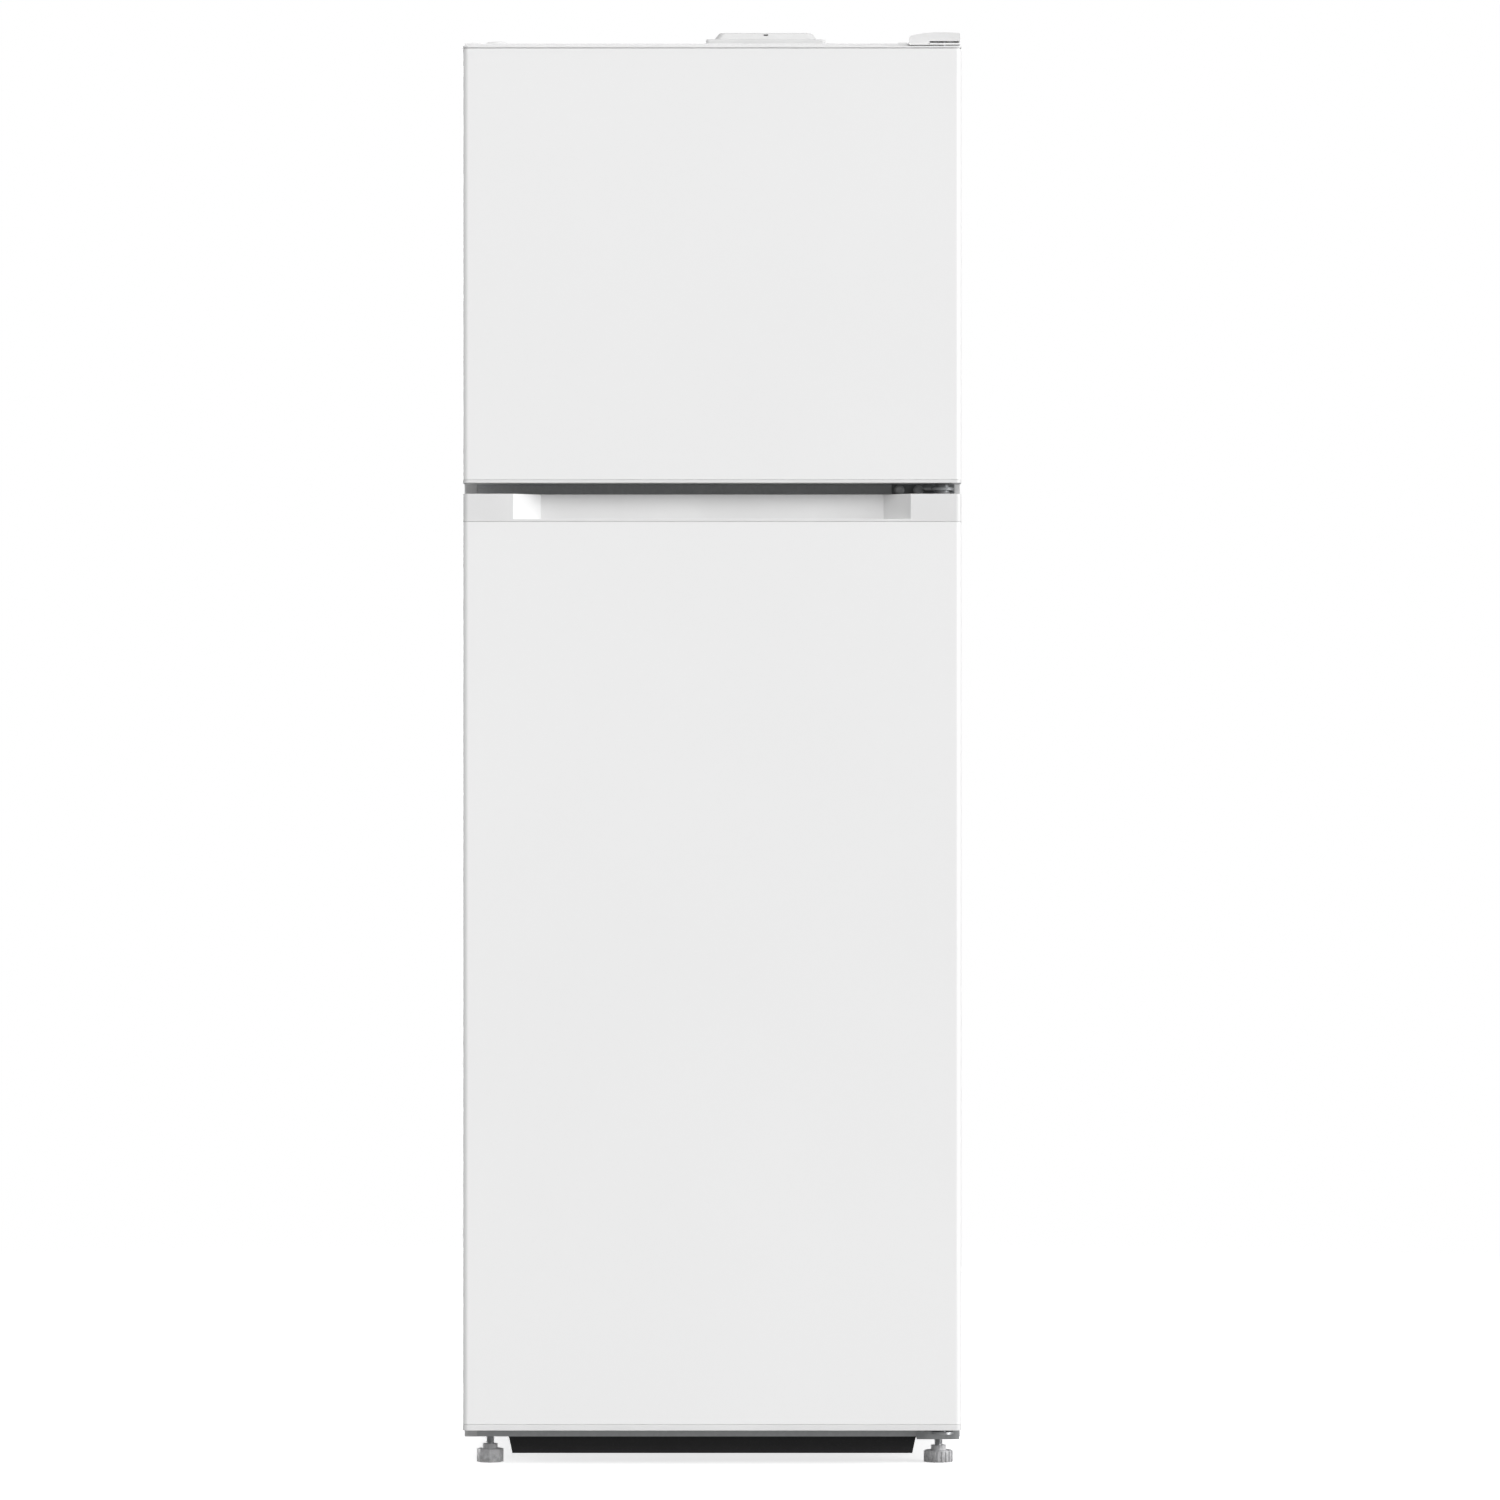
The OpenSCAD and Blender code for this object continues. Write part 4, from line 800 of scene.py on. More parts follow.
class DoorLiners(bpy.types.Operator):
    """Forms each door's inner liner with its raised frame and the ledges for its bins."""

    bl_idname = "fridge.door_liners"
    bl_label = "Door liners"

    def execute(self, context):
        sizes = context.scene.fridge_sizes
        bin_lift = 6 * MM
        for door in DOORS:
            node = f"{door}_liner"
            x0, x1, _, y1, z0, z1 = span(node)
            bins = span(f"{door}_bins")
            back = bins[2] - 0.3 * MM
            rise = y1 - back
            half = bins[1] + 2 * MM + sizes.dyke_width
            low, high = self.frame_levels(door)
            flat = ((x0, x1, z0, z1), 2 * MM, back)
            bend = 4 * MM  # a wider bend bares the square ends of the foam's bars
            foot = 2 * MM
            out = [(p, back + q) for p, q in arc((-foot, foot), foot, 270, 360, 3)]
            out += [(p, back + q) for p, q in arc((bend, rise - bend), bend, 180, 90, 5)]
            wide = sizes.dyke_width
            out += [(p, back + q) for p, q in arc((wide - bend, rise - bend), bend, 90, 0, 5)]
            out += [(p, back + q) for p, q in arc((wide + bend, bend), bend, 180, 270, 5)]
            rings = [((p - half, half - p, low + p, high - p), 4 * MM - p * 0.05, q) for p, q in out]
            bm = bmesh.new()
            loft(bm, [flat] + rings, "y", caps=(False, True))
            thicken(bm, -sizes.liner_wall)
            inner = half - wide
            for level in self.ledge_levels(door):
                mirrored_blocks(bm, inner - 8 * MM, inner + 2 * MM, back - MM, y1 - 8 * MM,
                                level - bin_lift, level, radius=1.6 * MM)
            piece(f"{door}_formed_liner", bm, door, "liner_plastic", node)
        return {"FINISHED"}

    def frame_levels(self, door):
        """Levels of the raised frame: the foam's bars fill it, behind the liner's wall."""
        gasket = span(f"{door}_gasket")
        inside = bpy.context.scene.fridge_sizes.gasket_width + 10 * MM
        return gasket[4] + inside, gasket[5] - inside

    def ledge_levels(self, door):
        """Undersides of the bins, from the openings that the record states."""
        return [low[2] - BIN_SHELL for low, _ in openings(door.replace("_door", "_bin"))]


class Gaskets(bpy.types.Operator):
    """Lays each door's gasket: a base, a folded bellows and the bar that holds the magnet."""

    bl_idname = "fridge.gaskets"
    bl_label = "Door gaskets"

    def execute(self, context):
        width = context.scene.fridge_sizes.gasket_width
        for door in DOORS:
            node = f"{door}_gasket"
            x0, x1, y0, y1, z0, z1 = span(node)
            deep = y1 - y0
            half = width / 2
            side = [(0.44, 0.0), (0.44, 0.14), (0.3, 0.26), (0.4, 0.4), (0.26, 0.52), (0.42, 0.6),
                    (0.49, 0.66), (0.5, 0.94), (0.47, 1.0)]
            left = [(half + width * u, y0 + deep * v) for u, v in side]
            right = [(half - width * u, y0 + deep * v) for u, v in reversed(side)]
            bm = bmesh.new()
            pan(bm, (x0, x1, z0, z1), 3 * MM, left + right, "y", closed=True, steps=3)
            piece(f"{door}_bellows", bm, door, "gasket_vinyl", node, smooth=50)
        return {"FINISHED"}


class DoorBins(bpy.types.Operator):
    """Moulds the clear bins on the doors, each with a white rail along its front."""

    bl_idname = "fridge.door_bins"
    bl_label = "Door bins"

    def execute(self, context):
        sizes = context.scene.fridge_sizes
        for door in DOORS:
            node = f"{door}_bins"
            x0, x1, y0 = span(node)[:3]
            for i, (low, high) in enumerate(openings(door.replace("_door", "_bin"))):
                front = high[1] + BIN_SHELL
                base = low[2] - BIN_SHELL
                top = high[2] + MM
                bm = bmesh.new()
                open_bin(bm, x0, x1, y0, front, base, top, sizes.bin_wall, sizes.bin_corner)
                piece(f"{door}_bin_{i + 1}", bm, door, "clear_bin", node)
                bm = bmesh.new()
                block(bm, x0 + 16 * MM, x1 - 16 * MM, front - 1.5 * MM, front + 3 * MM,
                      top - 22 * MM, top - 8 * MM, 1.9 * MM)
                piece(f"{door}_bin_rail_{i + 1}", bm, door, "white_trim")
        return {"FINISHED"}


# ---- cabinet ----

class Cabinet(bpy.types.Operator):
    """Finishes the cabinet's sheet metal."""

    bl_idname = "fridge.cabinet"
    bl_label = "Cabinet"

    def execute(self, context):
        for node in ("side_panels", "top_panel", "cabinet_floor", "centre_beam"):
            refined(node, 0.25 * MM, 2)
        refined("lower_front_beam", 0.4 * MM, 2)
        refined("toe_kick", 0.6 * MM, 3)
        self.back_panel()
        return {"FINISHED"}

    def back_panel(self):
        """The back sheet with pressed stiffening ribs, foam-hole caps and a row of screws."""
        x0, x1, y0, y1, z0, z1 = span("back_panel")
        bm = bmesh.new()
        press = 2.2 * MM
        bays = 3
        gap = 24 * MM
        tall = (z1 - z0 - gap * (bays + 1)) / bays
        block(bm, x0, x1, y0, y1, z0, z1, 0.2 * MM)
        for i in range(bays):
            low = z0 + gap + i * (tall + gap)
            box = (x0 + gap, x1 - gap, low, low + tall)
            rib = [(0, y1 - 0.2 * MM), (1.5 * MM, y1 + 0.3 * MM), (5 * MM, y1 + press), (13 * MM, y1 + press),
                   (16.5 * MM, y1 + 0.3 * MM), (18 * MM, y1 - 0.2 * MM)]
            pan(bm, box, 26 * MM, rib, "y", closed=True)
        piece("back_panel_pressed", bm, CABINET, "galvanised_steel", "back_panel", smooth=50)
        bm = bmesh.new()
        for x in (-0.32, 0.32):
            for z in (0.22, 0.78):
                spot = (x * (x1 - x0), y1, z0 + z * (z1 - z0))
                dome = [(0, 3.4 * MM), (9 * MM, 3.1 * MM), (13 * MM, 2.2 * MM), (15 * MM, 0.6 * MM),
                        (15 * MM, -0.5 * MM), (0, -0.5 * MM)]
                turned(bm, dome, spot, "y")
        piece("foam_hole_caps", bm, CABINET, "white_trim")
        bm = bmesh.new()
        count = 7
        for side in (-1, 1):
            for i in range(count):
                z = z0 + 14 * MM + i * (z1 - z0 - 28 * MM) / (count - 1)
                screw_head(bm, (side * (x1 - 9 * MM), y1, z), "y", 3.6 * MM, 2.0 * MM)
        piece("back_panel_screws", bm, CABINET, "zinc_fitting")


def screw_head(bm, spot, axis, radius, height, steps=20):
    """A pan-head screw with a round dish in its crown, standing out along an axis."""
    crown = arc((radius - height * 0.6, height * 0.4), height * 0.6, 0, 90, 3)
    dish = [(radius * 0.42, height), (radius * 0.3, height * 0.45), (0, height * 0.4)]
    return turned(bm, [(0, -0.3 * MM), (radius, -0.3 * MM)] + crown + dish, spot, axis, steps)


class Liners(bpy.types.Operator):
    """Forms the two compartment liners with filleted corners, a rounded lip and shelf ribs."""

    bl_idname = "fridge.liners"
    bl_label = "Compartment liners"

    def execute(self, context):
        drawer = span("crisper_drawer")
        shelf = span("crisper_cover")
        fridge = span("fridge_liner")
        freezer = span("freezer_liner")
        gap = 2 * MM
        half = shelf[1] + gap
        front = fridge[2]
        back = fridge[3] - gap
        floor = drawer[4] - 0.3 * MM
        ceiling = span("lamp_cover")[5]
        step_y = drawer[3] + 6 * MM
        ledge = shelf[4] + TRIM_DROP
        outline = [(front, floor), (step_y, floor), (step_y, ledge), (back, ledge), (back, ceiling),
                   (front, ceiling)]
        ribs = [(ledge, step_y)] + [(z, span("fridge_shelves")[3]) for z in shelf_levels()]
        self.form("fridge_liner", outline, half, fridge, ribs, span("fridge_shelves")[2] + 20 * MM)
        duct = span("freezer_duct_cover")
        half = duct[1] + gap
        outline = [(front, duct[4] - MM), (back, duct[4] - MM), (back, duct[5] + gap), (front, duct[5] + gap)]
        top_shelf = span("freezer_shelf")
        ribs = [(top_shelf[4] + TRIM_DROP, duct[2] - 5 * MM)]
        self.form("freezer_liner", outline, half, freezer, ribs, top_shelf[2] + 15 * MM)
        return {"FINISHED"}

    def form(self, node, outline, half, box, ribs, rib_front):
        """One liner: its outline in y and z drawn across, filleted, opened at the front and flanged."""
        sizes = bpy.context.scene.fridge_sizes
        front = box[2]
        bm = bmesh.new()
        prism(bm, [(-half, y, z) for y, z in outline], (2 * half, 0, 0))
        bmesh.ops.recalc_face_normals(bm, faces=bm.faces)
        mouth = at(bm.edges, 1, front)
        inside = [e for e in bm.edges if e not in mouth]
        soften(bm, inside, sizes.liner_fillet, 5)
        bmesh.ops.delete(bm, geom=at(bm.faces, 1, front), context="FACES")
        mouth = [e for e in bm.edges if len(e.link_faces) == 1]
        rim = pulled_verts(bmesh.ops.extrude_edge_only(bm, edges=mouth))
        low, high = outline[0][1], outline[-1][1]
        middle = (low + high) / 2
        for vert in rim:
            vert.co.x += math.copysign(box[1] - half, vert.co.x)
            vert.co.z += (box[5] - high) if vert.co.z > middle else (box[4] - low)
        lip = [e for e in at(bm.edges, 1, front)
               if len(e.link_faces) == 2 and e.calc_face_angle(0) > math.radians(60)]
        soften(bm, lip, sizes.liner_lip, 4)
        bmesh.ops.recalc_face_normals(bm, faces=bm.faces)
        if self.faces_out(bm, front):
            bmesh.ops.reverse_faces(bm, faces=bm.faces)
        bmesh.ops.solidify(bm, geom=bm.faces, thickness=-sizes.liner_wall)
        for level, rib_back in ribs:
            mirrored_blocks(bm, half - 8 * MM, half + MM, rib_front, rib_back, level - 6 * MM, level,
                            radius=1.5 * MM)
        piece(f"{node}_formed", bm, CABINET, "liner_plastic", node)

    def faces_out(self, bm, front):
        """True if the flange at the front faces backwards."""
        return sum(f.normal.y * f.calc_area() for f in at(bm.faces, 1, front)) > 0


def shelf_levels():
    """Undersides of the glass shelves, from the spaces over them that the record states."""
    spaces = [openings(f"fridge_space_{i}")[0] for i in (2, 3, 4)]
    return [low[2] - SHELF_RISE for low, _ in spaces]


class Shelves(bpy.types.Operator):
    """Cuts the glass shelves and clips a moulded trim on the front and back of each."""

    bl_idname = "fridge.shelves"
    bl_label = "Glass shelves"

    def execute(self, context):
        box = span("fridge_shelves")
        for i, level in enumerate(shelf_levels()):
            self.shelf(f"fridge_shelf_{i + 1}", "fridge_shelves", box, level)
        box = span("crisper_cover")
        self.shelf("crisper_lid", "crisper_cover", box, box[4] + TRIM_DROP)
        box = span("freezer_shelf")
        self.shelf("freezer_glass", "freezer_shelf", box, box[4] + TRIM_DROP)
        return {"FINISHED"}

    def shelf(self, name, node, box, level):
        x0, x1, y0, y1 = box[:4]
        glass = bpy.context.scene.fridge_sizes.glass
        bm = bmesh.new()
        block(bm, x0, x1, y0 + 5 * MM, y1, level, level + glass, 0.7 * MM, 5 * MM)
        piece(f"{name}_pane", bm, CABINET, "shelf_glass", node)
        bm = bmesh.new()
        block(bm, x0, x1, y0, y0 + 12 * MM, level - TRIM_DROP, level + glass + 3 * MM, 2.6 * MM,
              segments=4)
        block(bm, x0 + MM, x1 - MM, y1 - 12 * MM, y1 - 0.5 * MM, level - 2 * MM, level + glass + 2 * MM,
              1.5 * MM)
        piece(f"{name}_trim", bm, CABINET, "white_trim", node)


class Crisper(bpy.types.Operator):
    """Moulds the crisper drawer with its white front and pull."""

    bl_idname = "fridge.crisper"
    bl_label = "Crisper drawer"

    def execute(self, context):
        sizes = context.scene.fridge_sizes
        x0, x1, y0, y1, z0, z1 = span("crisper_drawer")
        bm = bmesh.new()
        open_bin(bm, x0, x1, y0 + 4 * MM, y1, z0, z1, sizes.bin_wall, 16 * MM, draft=5 * MM, rim=10 * MM,
                 foot=12 * MM)
        piece("crisper_tub", bm, "crisper_drawer", "clear_bin", "crisper_drawer")
        bm = bmesh.new()
        block(bm, x0, x1, y0 + MM, y0 + 5.5 * MM, z0 + 3 * MM, z1, 1.6 * MM)
        block(bm, -70 * MM, 70 * MM, y0, y0 + 9 * MM, z1 - 24 * MM, z1 - 10 * MM, 3 * MM)
        piece("crisper_front", bm, "crisper_drawer", "white_trim", "crisper_drawer")
        return {"FINISHED"}


class IceMaker(bpy.types.Operator):
    """Finishes the twist ice tray, its holder and the box that catches the cubes."""

    bl_idname = "fridge.ice_maker"
    bl_label = "Ice maker"

    def execute(self, context):
        refined("ice_tray", 0.7 * MM, 2)
        refined("ice_tray_holder", 1.0 * MM, 2)
        x0, x1, y0, y1, z0, z1 = span("ice_box")
        bm = bmesh.new()
        open_bin(bm, x0, x1, y0, y1, z0, z1, 2.2 * MM, 10 * MM)
        piece("ice_box_moulded", bm, CABINET, "white_trim", "ice_box")
        self.grip_ridges()
        return {"FINISHED"}

    def grip_ridges(self):
        """Small ridges round the tray's knob, so that cold fingers hold it."""
        tray = span("ice_tray")
        holder = span("ice_tray_holder")
        centre = Vector(((holder[0] + holder[1]) / 2, tray[2], (tray[4] + tray[5]) / 2))
        bm = bmesh.new()
        count = 24
        for i in range(count):
            turn = 2 * math.pi * i / count
            spot = centre + Vector((math.cos(turn), 0, math.sin(turn))) * 13.6 * MM
            rod(bm, spot + Vector((0, 0.8 * MM, 0)), spot + Vector((0, 7 * MM, 0)), 0.7 * MM, 8)
        bar = 10 * MM
        block(bm, centre.x - bar, centre.x + bar, centre.y - 1.2 * MM, centre.y + 2 * MM,
              centre.z - 2.2 * MM, centre.z + 2.2 * MM, 0.9 * MM)
        piece("ice_tray_knob_grip", bm, "ice_tray", "white_trim")


class Ducts(bpy.types.Operator):
    """Finishes the air ducts, the fan, the lamp cover and the temperature dial."""

    bl_idname = "fridge.ducts"
    bl_label = "Ducts, fan and dial"

    def execute(self, context):
        refined("freezer_duct_cover", 0.9 * MM, 2)
        refined("fridge_air_duct", 1.1 * MM, 3)
        refined("fan_motor", 0.8 * MM, 2)
        self.fan()
        self.lamp()
        self.dial()
        return {"FINISHED"}

    def fan(self):
        """A hub with five cupped blades."""
        hub_z = next(o for o in frame["joints"] if o["name"] == "fan_spin")["pos_m"][2]
        hub_y0, hub_y1 = span("freezer_duct_cover")[2] + 12 * MM, span("fan_motor")[3] - 29 * MM
        hub_r = 14 * MM
        bm = bmesh.new()
        profile = [(2.2 * MM, 0), (hub_r - 3 * MM, 0)] + arc((hub_r - 3 * MM, 3 * MM), 3 * MM, 270, 360, 3)
        deep = hub_y1 - hub_y0
        turned(bm, profile + [(hub_r, deep), (hub_r - 2 * MM, deep), (2.2 * MM, deep), (2.2 * MM, 0)],
               (0, hub_y0, hub_z), "y")
        blades = 5
        for i in range(blades):
            known = set(bm.verts)
            bmesh.ops.create_grid(bm, x_segments=6, y_segments=6, size=0.5)
            for vert in added(bm, known):
                reach = hub_r - 2 * MM + (vert.co.x + 0.5) * (51 * MM - hub_r)
                across = vert.co.y * (16 + 10 * (vert.co.x + 0.5)) * MM
                pitch = math.radians(38 - 12 * (vert.co.x + 0.5))
                cup = 2.4 * MM * (1 - (2 * vert.co.y) ** 2)
                vert.co = (reach, across * math.sin(pitch) - cup, across * math.cos(pitch))
            sheet = {f for v in added(bm, known) for f in v.link_faces}
            bmesh.ops.solidify(bm, geom=list(sheet), thickness=1.4 * MM)
            spot = Matrix.Translation((0, (hub_y0 + hub_y1) / 2, hub_z))
            turn = Matrix.Rotation(2 * math.pi * i / blades, 4, "Y")
            bmesh.ops.transform(bm, matrix=spot @ turn, verts=added(bm, known))
        piece("fan_wheel", bm, "fan_blade", "grey_plastic", "fan_blade")

    def lamp(self):
        """A shallow dome, open towards the ceiling."""
        x0, x1, y0, y1, z0, z1 = span("lamp_cover")
        bm = bmesh.new()
        rim = [(0, z1)] + [(p, z0 + q) for p, q in arc((5 * MM, 5 * MM), 5 * MM, 180, 270, 4)]
        pan(bm, (x0, x1, y0, y1), 12 * MM, rim, caps=(False, True))
        thicken(bm, 1.8 * MM)
        piece("lamp_diffuser_dome", bm, CABINET, "lamp_diffuser", "lamp_cover")

    def dial(self):
        """A round dial with a raised grip, over a ring of tick marks on the duct."""
        x0, x1, y0, _, z0, z1 = span("temperature_dial")
        centre_z = (z0 + z1) / 2
        radius = (x1 - x0) / 2
        face = span("fridge_air_duct")[2] - 0.5 * MM
        bm = bmesh.new()
        shaft, deep, bend = 4 * MM, 6 * MM, 1.5 * MM
        profile = [(0, 9 * MM), (shaft, 9 * MM), (shaft, 0), (radius, 0)]
        profile += arc((radius - bend, bend - deep), bend, 0, -90, 3) + [(0, -deep)]
        turned(bm, profile, (0, face, centre_z), "y", 48)
        block(bm, -2.5 * MM, 2.5 * MM, y0, face - 5 * MM, z0 + 3 * MM, z1 - 3 * MM, 1.6 * MM)
        piece("temperature_knob", bm, "temperature_dial", "white_trim", "temperature_dial")
        bm = bmesh.new()
        ticks = 7
        for i in range(ticks):
            turn = math.radians(-45 + 270 * i / (ticks - 1))
            out = Vector((math.cos(turn), 0, math.sin(turn)))
            spot = Vector((0, face + 0.3 * MM, centre_z))
            wide = 0.5 * MM + 0.15 * MM * i
            rod(bm, spot + out * (radius + 3 * MM), spot + out * (radius + 7 * MM), wide, 8)
        piece("dial_tick_marks", bm, CABINET, "grey_plastic")


class TopCovers(bpy.types.Operator):
    """Moulds the control box cover, the top hinge's cover and the plugs on the cabinet's top."""

    bl_idname = "fridge.top_covers"
    bl_label = "Top covers and plugs"

    def execute(self, context):
        self.control_cover()
        self.hinge_cover()
        self.plugs()
        return {"FINISHED"}

    def control_cover(self):
        """A low flange with a hump that tapers at its ends, and two screws in the flange."""
        x0, x1, y0, y1, z0, z1 = span("control_box_cover")
        step = z0 + 10 * MM
        low_in, high_in = 10.8 * MM, 17 * MM
        bend = 1.6 * MM
        rings = [((x0, x1, y0, y1), 5 * MM, z0), ((x0, x1, y0, y1), 5 * MM, step - bend)]
        rings += [((x0 + p, x1 - p, y0 + p, y1 - p), 5 * MM - p, step - bend + q)
                  for p, q in arc((bend, 0), bend, 180, 90, 3)[1:]]
        rings += [((x0 + low_in - MM, x1 - low_in + MM, y0 + 7 * MM, y1 - 7 * MM), 8 * MM, step)]
        rings += [((x0 + low_in, x1 - low_in, y0 + 8 * MM, y1 - 8 * MM), 8 * MM, step + MM)]
        rings += [((x0 + high_in - 1.6 * MM, x1 - high_in + 1.6 * MM, y0 + 9 * MM, y1 - 9 * MM),
                   8 * MM, z1 - 1.4 * MM)]
        rings += [((x0 + high_in, x1 - high_in, y0 + 10 * MM, y1 - 10 * MM), 7 * MM, z1 - 0.3 * MM)]
        rings += [((x0 + high_in + 1.6 * MM, x1 - high_in - 1.6 * MM, y0 + 12 * MM, y1 - 12 * MM),
                   6 * MM, z1)]
        bm = bmesh.new()
        loft(bm, rings, caps=(False, True))
        thicken(bm, 1.6 * MM)
        # The cover's finish is the trim darkened as painted shade.
        piece("control_cover_moulded", bm, CABINET, "white_trim", "control_box_cover", finish="cover_plastic",
              recalculate=False)
        # A small near-black block set into the cover's hump: painted shade for the inside of a slot.
        bm = bmesh.new()
        middle = (x0 + x1) / 2 + 0.5 * MM
        block(bm, middle - 2.6 * MM, middle + 2.6 * MM, y0 + 8.3 * MM, y0 + 11 * MM,
              z1 - 3.6 * MM, z1 - 2.0 * MM, 0.2 * MM)
        piece("control_cover_slot", bm, CABINET, "white_trim", finish="shadow_plastic")
        bm = bmesh.new()
        for x in (x0 + 6 * MM, x1 - 6 * MM):
            for y in (y0 + 24 * MM, y1 - 24 * MM):
                screw_head(bm, (x, y, step), "z", 3.2 * MM, 1.6 * MM)
        piece("control_cover_screws", bm, CABINET, "zinc_fitting")

    def hinge_cover(self):
        """A hood over the top hinge: crowned from left to right, rounded at its left corners."""
        x0, x1, y0, y1, z0, z1 = span("top_hinge_cover")
        base = span("top_hinge")[5] - 3 * MM
        left_z = z1 - 4 * MM
        peak_x = x0 + 0.52 * (x1 - x0)
        corner = arc((x0 + 4 * MM, left_z - 4 * MM), 4 * MM, 180, 110, 4)
        crown = [(peak_x, z1 - 0.2 * MM), ((peak_x + x1) / 2, z1 - 0.4 * MM), (x1, z1 - 1.4 * MM)]
        rise = [(x0 + 0.25 * (x1 - x0), left_z + 2.6 * MM)]
        skirt = span("freezer_door_skin")[5] + 2 * MM
        slot_x = x0 + 24 * MM
        side = [(x0, skirt)] + corner + rise + crown + [(x1, z0 + 1.4 * MM), (slot_x, z0 + 1.4 * MM),
                                                        (slot_x, skirt)]
        bm = bmesh.new()
        prism(bm, [(x, y0, z) for x, z in side], (0, y1 - y0, 0))
        tail = span("side_panels")[2] - 1.5 * MM
        bmesh.ops.recalc_face_normals(bm, faces=bm.faces)
        bmesh.ops.bisect_plane(bm, geom=bm.verts[:] + bm.edges[:] + bm.faces[:], plane_co=(0, tail, 0),
                               plane_no=(0, 1, 0))
        for vert in bm.verts:
            if vert.co.y > tail - 1e-6 and vert.co.z < base:
                vert.co.z = base
        bmesh.ops.remove_doubles(bm, verts=bm.verts, dist=1e-5)
        ends = [e for e in bm.edges if len(e.link_faces) == 2 and e.calc_face_angle(0) > math.radians(50)
                and min(v.co.z for v in e.verts) > left_z - 6 * MM]
        soften(bm, ends, 1.2 * MM, 3)
        under = [f for f in bm.faces if f.normal.z < -0.9]
        bmesh.ops.delete(bm, geom=under, context="FACES")
        thicken(bm, 1.3 * MM)
        block(bm, slot_x - 1.5 * MM, x1, y0, y0 + 5 * MM, skirt, skirt + 2.4 * MM, 0.6 * MM)
        piece("hinge_hood", bm, CABINET, "white_trim", "top_hinge_cover", recalculate=False)

    def plugs(self):
        """Snap-in plugs over the spare hinge holes, and the one that fills the gap between the doors."""
        x0 = span("hole_plugs")[0]
        panel = span("top_panel")
        top = panel[5]
        front = panel[2]
        bm = bmesh.new()
        block(bm, x0 + 6.5 * MM, x0 + 17.5 * MM, front + 8 * MM, front + 20 * MM, top, top + 2 * MM, 0.9 * MM)
        centre = (x0 + 36.5 * MM, front + 30 * MM, top)
        dome = [(0, 0), (14.5 * MM, 0), (14.5 * MM, 0.8 * MM)]
        dome += arc((9.5 * MM, -1.0 * MM), 5 * MM, 20, 88, 5) + [(0, 4 * MM)]
        turned(bm, dome, centre)
        hinge = span("top_hinge_cover")
        block(bm, hinge[0] - 12 * MM, hinge[0] - 1.5 * MM, front + 3 * MM, front + 14 * MM, top,
              top + 1.6 * MM, 0.7 * MM)
        gap_z0 = span("fridge_door_handle_cap")[5] + MM
        gap_z1 = span("freezer_door_bottom_cap")[4] - MM
        block(bm, x0, x0 + 13.5 * MM, front - 2 * MM, front, gap_z0, gap_z1, 0.6 * MM)
        piece("hole_plugs_moulded", bm, CABINET, "white_trim", "hole_plugs")


class Hinges(bpy.types.Operator):
    """Finishes the three hinges with their pins, bushes and screws."""

    bl_idname = "fridge.hinges"
    bl_label = "Hinges"

    def execute(self, context):
        refined("top_hinge", 0.5 * MM, 2)
        # The middle hinge gets a darker copy of the zinc: painted shade for the gap between the doors.
        refined("middle_hinge", 0.5 * MM, 2, finish="shaded_zinc")
        refined("bottom_hinge", 0.5 * MM, 2)
        self.screws()
        self.bushes()
        return {"FINISHED"}

    def screws(self):
        """Flanged hexagon heads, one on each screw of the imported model."""
        bm = bmesh.new()
        source = merged("hinge_screws")
        for spot, axis, sign in screw_places(source):
            known = set(bm.verts)
            bmesh.ops.create_cone(bm, cap_ends=True, segments=6, radius1=5 * MM, radius2=5 * MM, depth=3 * MM,
                                  matrix=Matrix.Translation((0, 0, 2 * MM)))
            edges = [e for e in edges_of(added(bm, known)) if e.calc_face_angle(0) > math.radians(40)]
            soften(bm, edges, 0.5 * MM, 2)
            turned(bm, [(0, -0.2 * MM), (6.2 * MM, -0.2 * MM), (6.2 * MM, 0.5 * MM), (5.2 * MM, 1.0 * MM),
                        (0, 1.0 * MM)], (0, 0, 0))
            turn = AXIS_TURNS[axis] if sign > 0 else AXIS_TURNS[axis] @ Matrix.Rotation(math.pi, 4, "X")
            bmesh.ops.transform(bm, matrix=Matrix.Translation(spot) @ turn, verts=added(bm, known))
        source.free()
        piece("hinge_screw_heads", bm, CABINET, "zinc_fitting", "hinge_screws")

    def bushes(self):
        """Grey nylon bushes round the pins, in the doors' ends; their dark grey is partly painted shade for
        the gap between the doors.
        """
        pin = frame["joints"][0]["pos_m"]
        bore, outer, tall = 4.1 * MM, 8.6 * MM, 2.4 * MM
        section = [(bore, 0), (outer, 0), (outer, tall), (bore, tall), (bore, 0)]
        bm = bmesh.new()
        levels = [span("fridge_door_handle_cap")[5], span("freezer_door_bottom_cap")[4] - tall]
        for level in levels:
            turned(bm, section, (pin[0], pin[1], level))
        piece("hinge_bushes", bm, CABINET, "grey_plastic", finish="nylon_bush")


